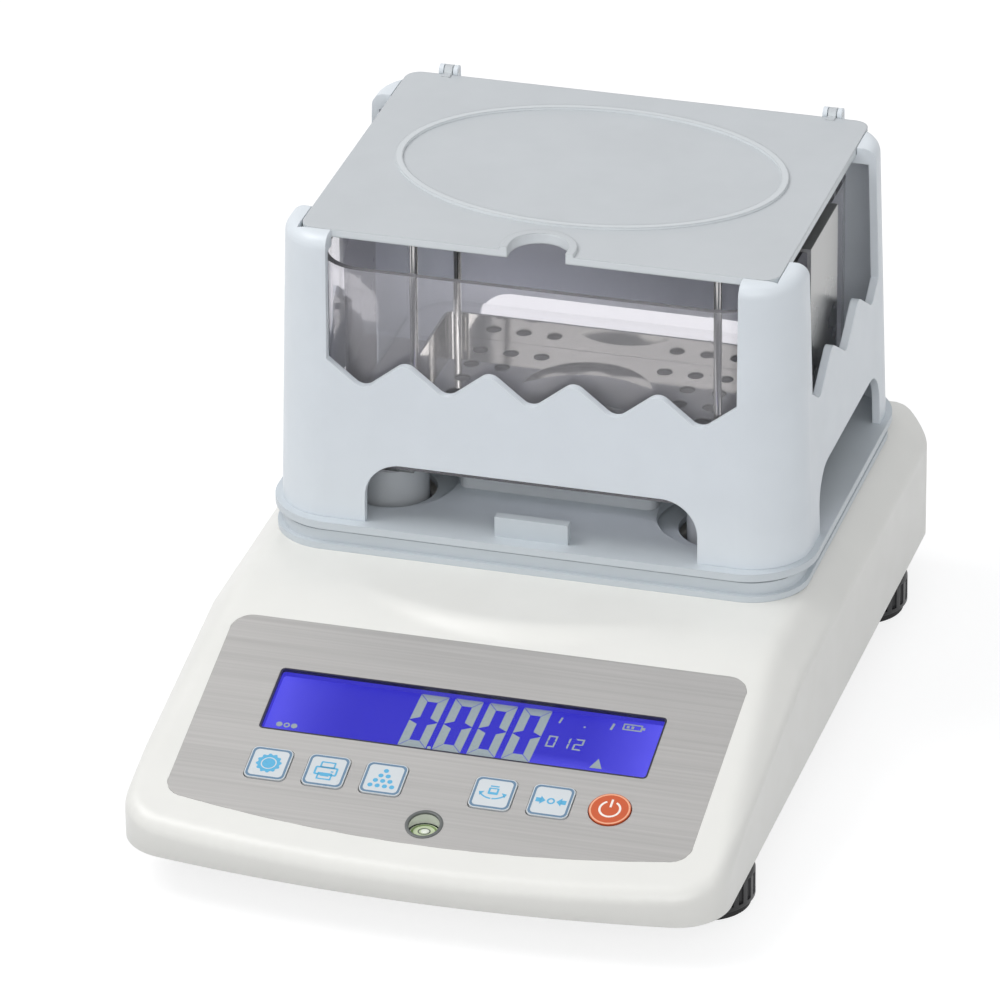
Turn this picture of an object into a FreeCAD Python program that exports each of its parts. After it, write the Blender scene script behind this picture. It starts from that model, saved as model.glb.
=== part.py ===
"""Benchtop density meter: a weighing base that carries a water tank, an immersion basket and a wind shield.

Origin at the middle of the resting plane, +X to the right, +Y to the back, +Z up, in millimetres.
"""
import FreeCAD, Part
import math
import os
import Sketcher
from FreeCAD import Placement, Rotation, Vector

# Driving dimensions, in mm and degrees
VALUES = {
    # shared
    "overrun": 5.0, "clearance": 0.3, "running_gap": 0.05,
    # housing shell
    "housing_width": 224.0, "housing_length": 330.0, "housing_bottom": 17.0, "plateau_height": 67.0,
    "wall": 2.5, "front_bow_depth": 10.0, "front_corner_radius": 20.0, "rear_corner_radius": 12.0,
    "panel_slope": 16.9, "panel_datum_margin": 87.7, "panel_datum_height": 54.8, "shoulder": 11.5,
    "shoulder_front": 1.5, "tongue_radius": 104.0, "tongue_front_margin": 116.0, "lip_radius": 5.0,
    "boss_radius": 4.0, "boss_side_margin": 11.0, "boss_corner_margin": 16.0, "boss_front_margin": 25.0,
    "boss_middle_y": -10.0, "boss_rear_margin": 15.0, "boss_front_top": 33.9, "boss_rear_top": 60.0,
    # base pan
    "pan_bottom": 18.0, "pan_thickness": 2.5, "vent_length": 40.0, "vent_width": 3.0, "vent_pitch": 8.0,
    "vent_x": -66.0, "vent_y": 40.0,
    # levelling feet
    "foot_side_margin": 18.0, "foot_front_margin": 59.0, "foot_rear_margin": 41.5, "foot_radius": 18.0,
    "foot_height": 14.5, "pad_thickness": 3.0, "pad_radius": 16.5, "spigot_radius": 5.0,
    "spigot_height": 2.5, "stud_radius": 4.0, "stud_top": 33.5, "stud_start": 7.0, "insert_radius": 6.0,
    "insert_top": 32.0, "foot_boss_radius": 9.0, "flute_radius": 1.2, "foot_edge": 2.0,
    # chassis and load cell
    "chassis_thickness": 3.0, "chassis_half_width": 32.0, "chassis_front": 0.0,
    "chassis_rear_margin": 13.0, "cell_width": 30.0, "cell_height": 22.0, "cell_front": 8.0,
    "cell_rear_margin": 19.0, "cell_gap": 4.5, "cell_end": 28.0, "cell_bore_radius": 8.0,
    "cell_bore_spacing": 24.0, "cell_slot": 4.0, "carrier_block_height": 3.0, "carrier_thickness": 4.0,
    "carrier_arm_width": 26.0, "post_radius": 14.0, "post_side_inset": 37.0, "post_front_inset": 37.0,
    "post_rear_inset": 39.5, "post_top": 87.0, "post_gap": 3.0, "stop_radius": 2.5, "stop_gap": 0.5,
    "stop_nut_radius": 4.5, "stop_nut_height": 3.0, "cell_screw_radius": 2.5,
    "cell_screw_head_radius": 4.2, "cell_screw_head_height": 4.0, "cell_screw_spacing": 9.6,
    "cell_screw_edge": 5.0, "cell_screw_depth": 14.0,
    # deck, pads and shield base
    "deck_side_margin": 12.5, "deck_front": -6.0, "deck_rear_margin": 14.0, "deck_top": 74.0,
    "deck_corner": 20.0, "deck_flange": 2.0, "deck_flange_height": 2.5, "plate_pad_radius": 7.0,
    "plate_pad_height": 1.0, "plate_pad_side_inset": 9.5, "plate_pad_front_inset": 12.0,
    "plate_pad_rear_inset": 11.0, "plate_side_overhang": 4.0, "plate_front_overhang": 1.5,
    "plate_rear_overhang": 4.0, "plate_thickness": 3.0, "plate_corner": 26.0, "plate_hole_radius": 25.0,
    "grip_half_width": 14.0, "grip_inset": 5.8, "grip_depth": 4.0, "grip_height": 8.0,
    "deck_screw_side_inset": 17.5, "deck_screw_front_inset": 6.0, "deck_screw_rear_inset": 5.0,
    # tank, its stand, the weighing frame and the basket
    "stand_post_gap": 26.0, "stand_front_inset": 28.0, "stand_rear_inset": 30.0, "stand_height": 19.5,
    "stand_top_thickness": 3.0, "stand_top_side_inset": 16.0, "stand_top_end_inset": 17.5,
    "tank_side_gap": 15.0, "tank_front_gap": 7.5, "tank_rear_gap": 8.0, "tank_top_gap": 13.6,
    "tank_wall": 2.5, "tank_corner": 20.0, "frame_sheet": 1.5, "frame_side_gap": 10.0,
    "frame_foot_width": 39.0, "frame_foot_front_gap": 25.0, "frame_foot_rear_gap": 27.5,
    "frame_band": 40.0, "frame_top_gap": 8.6, "tray_side_gap": 22.0, "tray_half_depth": 34.0,
    "tray_bottom": 101.5, "tray_sheet": 1.0, "tray_wall": 11.0, "tray_hole_radius": 3.0,
    "tray_hole_margin": 16.0, "dish_radius": 25.0, "dish_height": 3.0, "hanger_radius": 1.5,
    "hanger_inset": 6.0, "hanger_spread": 28.0, "hanger_strip_width": 10.0,
    # wind shield
    "shield_side_inset": 2.5, "shield_front_inset": 4.5, "shield_rear_inset": 3.5,
    "shield_corner": 22.0, "shield_wall": 3.0, "shield_draft": 1.7, "shield_edge": 5.0,
    "shield_top": 190.6, "arch_side_inset": 37.7, "arch_height": 24.3, "arch_corner": 14.0,
    "side_arch_front_inset": 34.0, "side_arch_rear_inset": 28.5, "window_side_inset": 23.5,
    "wave_trough": 131.5, "wave_margin": 13.7, "wave_slope": 38.0, "wave_round": 5.0,
    "side_window_front_inset": 28.0, "side_window_rear_inset": 26.5, "side_wave_margin": 10.5,
    "side_wave_slope": 32.3, "ledge_thickness": 3.4, "ledge_width": 13.5,
    # lid
    "lid_side_inset": 11.0, "lid_front_inset": 11.0, "lid_rear_inset": 3.1, "lid_thickness": 3.0,
    "lid_corner": 6.0, "bead_offset": 4.8, "bead_side_inset": 16.0, "bead_end_inset": 18.7,
    "bead_width": 2.6, "bead_height": 1.0, "notch_radius": 11.0, "notch_depth": 3.5, "notch_rim": 3.0,
    "notch_rim_height": 1.2, "hinge_inset": 15.2, "hinge_offset": 2.8, "hinge_rise": 0.4,
    "hinge_span": 10.0, "ear_drop": 9.0, "knuckle_radius": 2.4, "knuckle_width": 3.2, "hinge_gap": 0.3,
    "ear_width": 1.8, "pin_radius": 0.9,
    # control panel, measured on the slope: across in X, along up the slope, depth under its face
    "overlay_side_margin": 14.7, "overlay_top": 24.4, "overlay_side_bottom": -69.0, "overlay_bow": 8.0,
    "overlay_corner": 8.0, "overlay_thickness": 0.6, "window_side_margin": 24.8, "window_depth": 31.0,
    "window_corner": 2.0, "lens_flange": 1.2, "lcd_thickness": 5.0, "lcd_margin": 3.5,
    "backlight_thickness": 3.0, "button_side": 15.3, "button_corner": 2.5, "button_along": -48.0,
    "button_first_share": 0.2086, "button_pitch_share": 0.221, "round_button_share": 0.6526,
    "round_button_radius": 7.6, "button_flange": 0.9, "button_flange_height": 1.4, "button_proud": 0.5,
    "button_travel": 0.5, "switch_side": 6.0, "switch_height": 3.8, "actuator_radius": 1.7,
    "actuator_height": 1.0, "board_thickness": 1.6, "button_board_end": 18.5,
    "button_board_half_depth": 11.0, "button_board_boss_end": 15.0, "display_boss_gap": 9.5,
    "panel_screw_length": 6.5, "level_along": -66.8, "level_hole_radius": 6.4, "vial_radius": 5.2,
    "vial_bottom": 26.0, "vial_height": 6.5, "holder_radius": 8.0, "holder_top": 29.5,
    # electronics in the housing
    "board_half_width": 60.0, "board_front_margin": 72.0, "board_depth": 72.0, "board_lift": 7.5,
    "standoff_radius": 3.0, "standoff_inset": 5.0, "board_screw_length": 8.0, "jack_x": 70.0,
    "port_x": -60.0, "socket_height": 36.0, "jack_radius": 5.5, "jack_bore_radius": 2.9,
    "jack_width": 14.0, "jack_depth": 13.0, "port_half_width": 10.0, "port_half_height": 5.5,
    "port_flange": 15.5, "port_depth": 10.0, "port_shell": 1.0, "screw_radius": 1.35,
    "screw_head_radius": 2.8, "screw_head_height": 1.6, "screw_length": 12.0, "screw_gap": 0.1,
}

document = FreeCAD.newDocument("density_meter")
sheet = document.addObject("Spreadsheet::Sheet", "sizes")
for row, (alias, value) in enumerate(VALUES.items(), start=1):
    sheet.set(f"A{row}", alias)
    sheet.set(f"B{row}", str(value))
    sheet.setAlias(f"B{row}", alias)
document.recompute()


class Size:
    """A length or angle with its value and the expression that binds it to the sheet."""

    def __init__(self, value, text):
        self.value = value
        self.text = text

    def __add__(self, other):
        other = as_size(other)
        return Size(self.value + other.value, f"({self.text} + {other.text})")

    def __sub__(self, other):
        other = as_size(other)
        return Size(self.value - other.value, f"({self.text} - {other.text})")

    def __mul__(self, other):
        other = as_size(other)
        return Size(self.value * other.value, f"({self.text} * {other.text})")

    def __truediv__(self, other):
        other = as_size(other)
        return Size(self.value / other.value, f"({self.text} / {other.text})")

    def __rsub__(self, other):
        return as_size(other) - self

    def __neg__(self):
        return Size(-self.value, f"(-1 * {self.text})")

    __radd__ = __add__
    __rmul__ = __mul__


def as_size(number):
    """A plain ratio or zero as a Size."""
    if isinstance(number, Size):
        return number
    return Size(float(number), repr(float(number)))


class Sheet:
    """Gives each cell of the sheet by its alias."""

    def __getattr__(self, alias):
        return Size(VALUES[alias], f"sizes.{alias}")


d = Sheet()
ZERO = as_size(0)
REAR = d.housing_length / 2
FRONT = -REAR

# Sizes and places that follow the piece that carries them
FRONT_TEETH_COUNT = 4
SIDE_TEETH_COUNT = 2
d.foot_x = d.housing_width / 2 - d.foot_side_margin
d.foot_front_y = FRONT + d.foot_front_margin
d.foot_rear_y = REAR - d.foot_rear_margin
d.boss_x = d.housing_width / 2 - d.boss_side_margin
d.boss_front_x = d.housing_width / 2 - d.boss_corner_margin
d.boss_front_y = FRONT + d.boss_front_margin
d.boss_rear_y = REAR - d.boss_rear_margin
d.tongue_centre_y = FRONT + d.tongue_front_margin + d.tongue_radius
d.panel_datum_y = FRONT + d.panel_datum_margin
d.overlay_half_width = d.housing_width / 2 - d.overlay_side_margin
d.window_half_length = d.overlay_half_width - d.window_side_margin
d.display_boss_x = d.window_half_length + d.display_boss_gap
d.button_first_x = d.overlay_half_width * d.button_first_share
d.button_pitch = d.overlay_half_width * d.button_pitch_share
d.round_button_x = d.overlay_half_width * d.round_button_share
d.button_board_half_length = d.round_button_x + d.button_board_end
d.button_board_boss_x = d.round_button_x + d.button_board_boss_end
d.board_front = FRONT + d.board_front_margin
d.board_rear = d.board_front + d.board_depth
d.cell_rear = REAR - d.cell_rear_margin
d.chassis_rear = REAR - d.chassis_rear_margin
d.deck_half_width = d.housing_width / 2 - d.deck_side_margin
d.deck_rear = REAR - d.deck_rear_margin
d.deck_screw_x = d.deck_half_width - d.deck_screw_side_inset
d.deck_screw_front_y = d.deck_front + d.deck_screw_front_inset
d.deck_screw_rear_y = d.deck_rear - d.deck_screw_rear_inset
d.plate_pad_x = d.deck_half_width - d.plate_pad_side_inset
d.plate_pad_front_y = d.deck_front + d.plate_pad_front_inset
d.plate_pad_rear_y = d.deck_rear - d.plate_pad_rear_inset
d.plate_half_width = d.deck_half_width + d.plate_side_overhang
d.plate_front = d.deck_front - d.plate_front_overhang
d.plate_rear = d.deck_rear + d.plate_rear_overhang
d.grip_front = d.plate_front + d.grip_inset
d.shield_half_width = d.plate_half_width - d.shield_side_inset
d.shield_front = d.plate_front + d.shield_front_inset
d.shield_rear = d.plate_rear - d.shield_rear_inset
d.post_x = d.shield_half_width - d.post_side_inset
d.post_front_y = d.shield_front + d.post_front_inset
d.post_rear_y = d.shield_rear - d.post_rear_inset
d.tank_half_width = d.shield_half_width - d.tank_side_gap
d.tank_front = d.shield_front + d.tank_front_gap
d.tank_rear = d.shield_rear - d.tank_rear_gap
d.stand_half_width = d.post_x - d.stand_post_gap
d.stand_front = d.tank_front + d.stand_front_inset
d.stand_rear = d.tank_rear - d.stand_rear_inset
d.stand_top_half_width = d.tank_half_width - d.stand_top_side_inset
d.stand_top_front = d.tank_front + d.stand_top_end_inset
d.stand_top_rear = d.tank_rear - d.stand_top_end_inset
d.tank_height = (d.shield_top - d.tank_top_gap - d.deck_top - d.plate_pad_height - d.plate_thickness
                 - d.stand_height)
d.frame_height = d.shield_top - d.frame_top_gap - d.post_top
d.frame_half_width = d.shield_half_width - d.frame_side_gap
d.frame_foot_inner = d.frame_half_width - d.frame_foot_width
d.frame_foot_front = d.shield_front + d.frame_foot_front_gap
d.frame_foot_rear = d.shield_rear - d.frame_foot_rear_gap
d.basket_centre_y = (d.tank_front + d.tank_rear) / 2
d.tray_half_width = d.tank_half_width - d.tray_side_gap
d.tray_hole_pitch = (d.tray_half_width - d.tray_hole_margin) / 4
d.hanger_x = d.tray_half_width - d.hanger_inset
d.arch_half_width = d.shield_half_width - d.arch_side_inset
d.side_arch_front = d.shield_front + d.side_arch_front_inset
d.side_arch_rear = d.shield_rear - d.side_arch_rear_inset
d.window_half_width = d.shield_half_width - d.window_side_inset
d.wave_pitch = (d.window_half_width - d.wave_margin) * 2 / FRONT_TEETH_COUNT
d.side_window_front = d.shield_front + d.side_window_front_inset
d.side_window_rear = d.shield_rear - d.side_window_rear_inset
d.side_wave_pitch = (d.side_window_rear - d.side_window_front - d.side_wave_margin * 2) / SIDE_TEETH_COUNT
d.ledge_start = d.shield_half_width - d.ledge_width
d.lid_half_width = d.shield_half_width - d.lid_side_inset
d.lid_front = d.shield_front + d.lid_front_inset
d.lid_rear = d.shield_rear - d.lid_rear_inset
d.bead_centre_y = (d.lid_front + d.lid_rear) / 2 + d.bead_offset
d.bead_half_length = d.lid_half_width - d.bead_side_inset
d.bead_half_depth = (d.lid_rear - d.lid_front) / 2 - d.bead_end_inset
d.hinge_x = d.lid_half_width - d.hinge_inset


def tangent(angle):
    return Size(math.tan(math.radians(angle.value)), f"tan({angle.text})")


def sine(angle):
    return Size(math.sin(math.radians(angle.value)), f"sin({angle.text})")


def cosine(angle):
    return Size(math.cos(math.radians(angle.value)), f"cos({angle.text})")


def bind(item, path, size):
    item.setExpression(path, as_size(size).text)


def place(item, x=ZERO, y=ZERO, z=ZERO):
    for axis, size in zip("xyz", (x, y, z)):
        bind(item, f"Placement.Base.{axis}", size)


# Building blocks
def box(name, x, y, z):
    """A block between pairs of low and high sizes."""
    item = document.addObject("Part::Box", name)
    for side, (low, high) in (("Length", x), ("Width", y), ("Height", z)):
        bind(item, side, as_size(high) - low)
    place(item, x[0], y[0], z[0])
    return item


TURNS = {"X": Rotation(Vector(0, 1, 0), 90), "Y": Rotation(Vector(1, 0, 0), -90), "Z": Rotation()}


def cylinder(name, radius, length, x, y, z, axis="Z"):
    """A round bar that starts at a point and runs along an axis."""
    item = document.addObject("Part::Cylinder", name)
    item.Placement = Placement(Vector(), TURNS[axis])
    bind(item, "Radius", radius)
    bind(item, "Height", length)
    place(item, x, y, z)
    return item


def fuse(name, *items):
    item = document.addObject("Part::MultiFuse", name)
    item.Shapes = list(items)
    return item


def cut(name, base, *tools):
    tool = tools[0]
    if len(tools) > 1:
        tool = document.addObject("Part::Compound", f"{name}_tools")
        tool.Links = list(tools)
    item = document.addObject("Part::Cut", name)
    item.Base = base
    item.Tool = tool
    return item


def common(name, first, second):
    item = document.addObject("Part::MultiCommon", name)
    item.Shapes = [first, second]
    return item


def group(name, *items):
    item = document.addObject("Part::Compound", name)
    item.Links = list(items)
    return item


def mirrored(name, source):
    """A copy on the other side of the middle plane."""
    item = document.addObject("Part::Mirroring", name)
    item.Source = source
    item.Normal = (1, 0, 0)
    return item


def outline(body, name, plane, offset, points):
    """A closed sketch through points (u, v). A third value makes the edge that leaves the point an arc
    of that radius: to the right of the way along it when the flag True follows, else to the left."""
    sketch = body.newObject("Sketcher::SketchObject", name)
    origin = next(f for f in body.Origin.OriginFeatures if f.Role == f"{plane}_Plane")
    sketch.AttachmentSupport = [(origin, "")]
    sketch.MapMode = "FlatFace"
    bind(sketch, "AttachmentOffset.Base.z", offset)
    ends = []
    for i, point in enumerate(points):
        following = points[(i + 1) % len(points)]
        a, b = (Vector(as_size(p[0]).value, as_size(p[1]).value, 0) for p in (point, following))
        if len(point) == 2:
            sketch.addGeometry(Part.LineSegment(a, b), False)
            ends.append((1, 2))
            continue
        half = (b - a) * 0.5
        side = Vector(half.y, -half.x, 0).normalize() * (1 if point[3] else -1)
        centre = a + half - side * math.sqrt(point[2].value ** 2 - half.Length ** 2)
        ends.append((1, 2) if point[3] else (2, 1))
        first, last = (a, b) if point[3] else (b, a)
        sketch.addGeometry(Part.Arc(first, centre + side * point[2].value, last), False)
    for i in range(len(points)):
        j = (i + 1) % len(points)
        sketch.addConstraint(Sketcher.Constraint("Coincident", i, ends[i][1], j, ends[j][0]))
    for i, point in enumerate(points):
        for kind, size in zip(("DistanceX", "DistanceY"), point[:2]):
            size = as_size(size)
            index = sketch.addConstraint(Sketcher.Constraint(kind, -1, 1, i, ends[i][0], size.value))
            bind(sketch, f"Constraints[{index}]", size)
        if len(point) > 2:
            index = sketch.addConstraint(Sketcher.Constraint("Radius", i, point[2].value))
            bind(sketch, f"Constraints[{index}]", point[2])
    return sketch


def prism(name, plane, low, high, points, taper=None):
    """A padded outline between two distances from its plane. The XZ plane counts towards the front."""
    body = document.addObject("PartDesign::Body", name)
    pad = body.newObject("PartDesign::Pad", f"{name}_pad")
    pad.Profile = outline(body, f"{name}_outline", plane, low, points)
    bind(pad, "Length", as_size(high) - low)
    if taper:
        bind(pad, "TaperAngle", -taper)
    body.Tip = pad
    return body


def rounded(x, y, radius):
    """The points of a rectangle with round corners, counter-clockwise."""
    (left, right), (front, rear) = x, y
    return [(left + radius, front), (right - radius, front, radius, True), (right, front + radius),
            (right, rear - radius, radius, True), (right - radius, rear),
            (left + radius, rear, radius, True), (left, rear - radius),
            (left, front + radius, radius, True)]


def slab(name, x, y, z, radius, taper=None):
    """An upright block with round corners."""
    return prism(name, "XY", z[0], z[1], rounded(x, y, radius), taper)


def both(half):
    """The pair of sizes at each side of the middle."""
    return -half, half


NODES = []


def node(name, item):
    """Names an object as one sub-part."""
    item.Label = name
    NODES.append(item)
    return item


# Housing
SLOPE = tangent(d.panel_slope)
PAN_TOP = d.pan_bottom + d.pan_thickness


def panel_level(y, inset=ZERO):
    """The height of the sloping panel, or of a face at a depth below it."""
    y = as_size(y)
    return d.panel_datum_height - inset / cosine(d.panel_slope) + (y - d.panel_datum_y) * SLOPE


def housing_plan(inset):
    """The housing from above, with its bowed front, drawn in by an inset."""
    half = d.housing_width / 2 - inset
    side = FRONT + d.front_bow_depth + inset
    bow = (half * half + d.front_bow_depth * d.front_bow_depth) / (2 * d.front_bow_depth)
    rear = REAR - inset
    return [(half, side), (half, rear), (-half, rear), (-half, side, bow, True)]


def upright_edges(shape, front):
    """The names of the upright edges in front of or behind the middle."""
    names = []
    for index, edge in enumerate(shape.Edges, start=1):
        upright = abs(abs(edge.tangentAt(edge.FirstParameter).z) - 1) < 0.01
        if upright and (edge.CenterOfMass.y < 0) == front:
            names.append(f"Edge{index}")
    return names


def housing_plate(name, inset, bottom, top):
    """An upright block of the housing's plan with its four corners rounded."""
    body = prism(name, "XY", bottom, top, housing_plan(inset))
    for front, radius in ((True, d.front_corner_radius), (False, d.rear_corner_radius)):
        document.recompute()
        base = body.Tip
        corners = body.newObject("PartDesign::Fillet", f"{name}_corners_{int(front)}")
        corners.Base = (base, upright_edges(base.Shape, front))
        bind(corners, "Radius", radius - inset)
        body.Tip = corners
    return body


def housing_block(name, inset, bottom):
    """The housing's outer form, or its hollow, with the sloping panel and the side shoulders cut."""
    top = d.plateau_height - inset
    body = housing_plate(name, inset, bottom, top)
    knee = d.panel_datum_y + (top - panel_level(d.panel_datum_y, inset)) / SLOPE
    far = FRONT - d.overrun
    above = top + d.overrun
    document.recompute()
    pocket = body.newObject("PartDesign::Pocket", f"{name}_panel")
    pocket.Profile = outline(body, f"{name}_side", "YZ", ZERO,
                             [(knee, top), (knee, above), (far, above), (far, panel_level(far, inset))])
    pocket.Type = "ThroughAll"
    pocket.Midplane = True
    body.Tip = pocket
    right = shoulder(f"{name}_shoulder", inset, knee, top)
    return body, right, mirrored(f"{name}_left_shoulder", right)


def shoulder(name, inset, knee, top):
    """The wedges that bevel the right top edge: even along the plateau, narrowing down the panel."""
    half = d.housing_width / 2 - inset
    loss = inset * (2 - math.sqrt(2))
    front = FRONT + d.front_corner_radius
    far = FRONT - d.overrun
    near_reach, reach = ((half - size + loss + level) / math.sqrt(2) for size, level in (
        (d.shoulder_front, panel_level(front, inset)), (d.shoulder, top)))
    far_reach = near_reach - (reach - near_reach) * (front - far) / (knee - front)
    outside = (half + top + d.overrun) / math.sqrt(2)
    wedges = []
    for end, low, high, y in (("front", far_reach, reach, (far, knee)),
                              ("rear", reach, reach, (knee, REAR + d.overrun))):
        item = document.addObject("Part::Wedge", f"{name}_{end}")
        item.Placement = Placement(Vector(), Rotation(Vector(0, 1, 0), 45))
        sides = {"Ymin": y[0], "Ymax": y[1], "Zmin": low, "Z2min": high, "Zmax": outside, "Z2max": outside,
                 "Xmin": -d.housing_width, "X2min": -d.housing_width,
                 "Xmax": d.housing_width, "X2max": d.housing_width}
        for side, size in sides.items():
            bind(item, side, size)
        wedges.append(item)
    return fuse(name, *wedges)


def on_panel(item, x=ZERO, along=ZERO, depth=ZERO):
    """Puts an object drawn flat onto the sloping panel, at a place measured along it."""
    item.Placement = Placement(Vector(), Rotation(Vector(1, 0, 0), d.panel_slope.value))
    place(item, x, d.panel_datum_y + along * cosine(d.panel_slope) - depth * sine(d.panel_slope),
          d.panel_datum_height + along * sine(d.panel_slope) + depth * cosine(d.panel_slope))
    return item


def panel_slab(name, x, along, depth, radius):
    """A plate with round corners that lies on the panel. Depth counts up from the panel's face."""
    return on_panel(slab(name, x, along, depth, radius))


KEY_PLACES = {"set_key": -d.button_first_x - d.button_pitch * 2,
              "print_key": -d.button_first_x - d.button_pitch, "enter_key": -d.button_first_x,
              "mode_key": d.button_first_x, "zero_key": d.button_first_x + d.button_pitch}
WINDOW = (both(d.window_half_length), (-d.window_depth, ZERO))


def grown(pair, margin):
    return pair[0] - margin, pair[1] + margin


def overlay_points(inset=ZERO):
    """The panel overlay's outline, with its bowed lower edge, drawn in by an inset."""
    half = d.overlay_half_width - inset
    low, high = d.overlay_side_bottom + inset, d.overlay_top - inset
    r = d.overlay_corner
    bow = ((half - r) * (half - r) + d.overlay_bow * d.overlay_bow) / (2 * d.overlay_bow)
    return [(-half + r, low, bow, True), (half - r, low, r, True), (half, low + r),
            (half, high - r, r, True), (half - r, high), (-half + r, high, r, True),
            (-half, high - r), (-half, low + r, r, True)]


def key_square(name, centre, half, depth, radius):
    return panel_slab(name, (centre - half, centre + half),
                      (d.button_along - half, d.button_along + half), depth, radius)


def panel_round(name, radius, x, along, depth):
    item = cylinder(name, radius, depth[1] - depth[0], ZERO, ZERO, ZERO)
    return on_panel(item, x, along, depth[0])


def panel_openings(prefix, depth):
    """The cuts for the display, the keys and the level, through one depth of the panel."""
    tools = [panel_slab(f"{prefix}_window", WINDOW[0], WINDOW[1], depth, d.window_corner)]
    for name, x in KEY_PLACES.items():
        half = d.button_side / 2 + d.clearance
        tools.append(key_square(f"{prefix}_{name}", x, half, depth, d.button_corner))
    tools.append(panel_round(f"{prefix}_power", d.round_button_radius + d.clearance, d.round_button_x,
                             d.button_along, depth))
    tools.append(panel_round(f"{prefix}_level", d.level_hole_radius, ZERO, d.level_along, depth))
    return tools


POSTS = [(x, y) for x in both(d.post_x) for y in (d.post_front_y, d.post_rear_y)]
FEET = {"front_left": (-d.foot_x, d.foot_front_y), "front_right": (d.foot_x, d.foot_front_y),
        "rear_left": (-d.foot_x, d.foot_rear_y), "rear_right": (d.foot_x, d.foot_rear_y)}
BOSSES = [(x, y, top) for front_x, rear_x in ((-d.boss_front_x, -d.boss_x), (d.boss_front_x, d.boss_x))
          for x, y, top in ((front_x, d.boss_front_y, d.boss_front_top),
                            (rear_x, d.boss_middle_y, d.boss_rear_top),
                            (rear_x, d.boss_rear_y, d.boss_rear_top))]
DECK_SCREWS = [(x, y) for x in both(d.deck_screw_x) for y in (d.deck_screw_front_y, d.deck_screw_rear_y)]


def upper_housing():
    outer, right, left = housing_block("outer", ZERO, d.housing_bottom)
    tongue = cylinder("tongue", d.tongue_radius, d.shoulder, ZERO, d.tongue_centre_y,
                      d.plateau_height - d.shoulder)
    document.recompute()
    lip = document.addObject("Part::Fillet", "housing_lip")
    lip.Base = outer
    lip.Edges = [(index, d.lip_radius.value, d.lip_radius.value) for index in lip_edges(outer.Shape)]
    form = cut("housing_form", fuse("housing_mass", lip, tongue), right, left)
    hollow, inner_right, inner_left = housing_block("hollow", d.wall, d.housing_bottom - d.overrun)
    core = cut("housing_core", hollow, inner_right, inner_left)
    parts = [cut("housing_skin", form, core)]
    for index, (x, y, top) in enumerate(BOSSES):
        parts.append(cylinder(f"boss_{index}", d.boss_radius, top - PAN_TOP, x, y, PAN_TOP))
    for index, (x, y) in enumerate(DECK_SCREWS):
        low = d.plateau_height - d.screw_length
        parts.append(cylinder(f"deck_boss_{index}", d.boss_radius, d.screw_length - d.wall / 2, x, y, low))
    for name, x, along, top in PANEL_BOSSES:
        parts.append(panel_round(f"panel_boss_{name}", d.standoff_radius, x, along, (top, -d.wall / 2)))
    shell = fuse("housing_shell", *parts)
    tools = panel_openings("housing_hole", (-d.wall * 2, d.overrun))
    recess = prism("recess", "XY", -d.overlay_thickness, d.overrun, overlay_points())
    tools.append(on_panel(recess))
    for index, (x, y, top) in enumerate(BOSSES):
        tools.append(cylinder(f"pilot_{index}", d.screw_radius + d.screw_gap, d.screw_length, x, y,
                              d.pan_bottom))
    for index, (x, y) in enumerate(DECK_SCREWS):
        tools.append(cylinder(f"deck_pilot_{index}", d.screw_radius + d.screw_gap,
                              d.screw_length + d.overrun, x, y, d.plateau_height - d.screw_length))
    for index, (x, y) in enumerate(POSTS):
        tools.append(cylinder(f"post_hole_{index}", d.post_radius + d.post_gap, d.wall * 4, x, y,
                              d.plateau_height - d.wall * 3))
    for name, x, along, top in PANEL_BOSSES:
        tools.append(panel_round(f"panel_pilot_{name}", d.screw_radius + d.screw_gap, x, along,
                                 (top - d.overrun, top + d.panel_screw_length)))
    back = REAR - d.wall * 2
    tools.append(cylinder("jack_hole", d.jack_radius + d.clearance, d.wall * 4, d.jack_x, back,
                          d.socket_height, "Y"))
    tools.append(box("port_hole", grown((d.port_x, d.port_x), d.port_half_width + d.clearance),
                     (back, REAR + d.overrun),
                     grown((d.socket_height, d.socket_height), d.port_half_height + d.clearance)))
    return node("upper_housing", cut("upper_housing", shell, *tools))


def lip_edges(shape):
    """The top edges of the front face and its corners, where they meet the panel."""
    found = []
    for index, edge in enumerate(shape.Edges, start=1):
        middle = edge.valueAt((edge.FirstParameter + edge.LastParameter) / 2)
        height = abs(middle.z - panel_level(middle.y).value)
        ahead = middle.y < (FRONT + d.front_corner_radius).value
        if ahead and height < d.clearance.value and edge.Length > d.overrun.value:
            found.append(index)
    return found



LEVEL_Y = d.panel_datum_y + d.level_along * cosine(d.panel_slope)
BOARD_BOTTOM = PAN_TOP + d.board_lift
BOARD_TOP = BOARD_BOTTOM + d.board_thickness
BOARD_CORNERS = [(x, y) for x in both(d.board_half_width - d.standoff_inset)
                 for y in (d.board_front + d.standoff_inset, d.board_rear - d.standoff_inset)]
VENTS = 6


def screw(name, place, start, length, gap=ZERO, upward=False):
    """A pan-head screw from its head's outer face, or the bore for it with a gap all round."""
    x, y = place
    head_low = start - gap if upward else start - d.screw_head_height - gap
    shank_low = start if upward else start - length
    head = cylinder(f"{name}_head", d.screw_head_radius + gap, d.screw_head_height + gap * 2, x, y, head_low)
    shank = cylinder(f"{name}_shank", d.screw_radius + gap, length, x, y, shank_low)
    return fuse(name, head, shank)


def screw_set(name, places, start, length, upward=False):
    """One node of identical screws."""
    items = [screw(f"{name}_{i}", place, start, length, ZERO, upward) for i, place in enumerate(places)]
    return node(name, group(name, *items))


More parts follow.
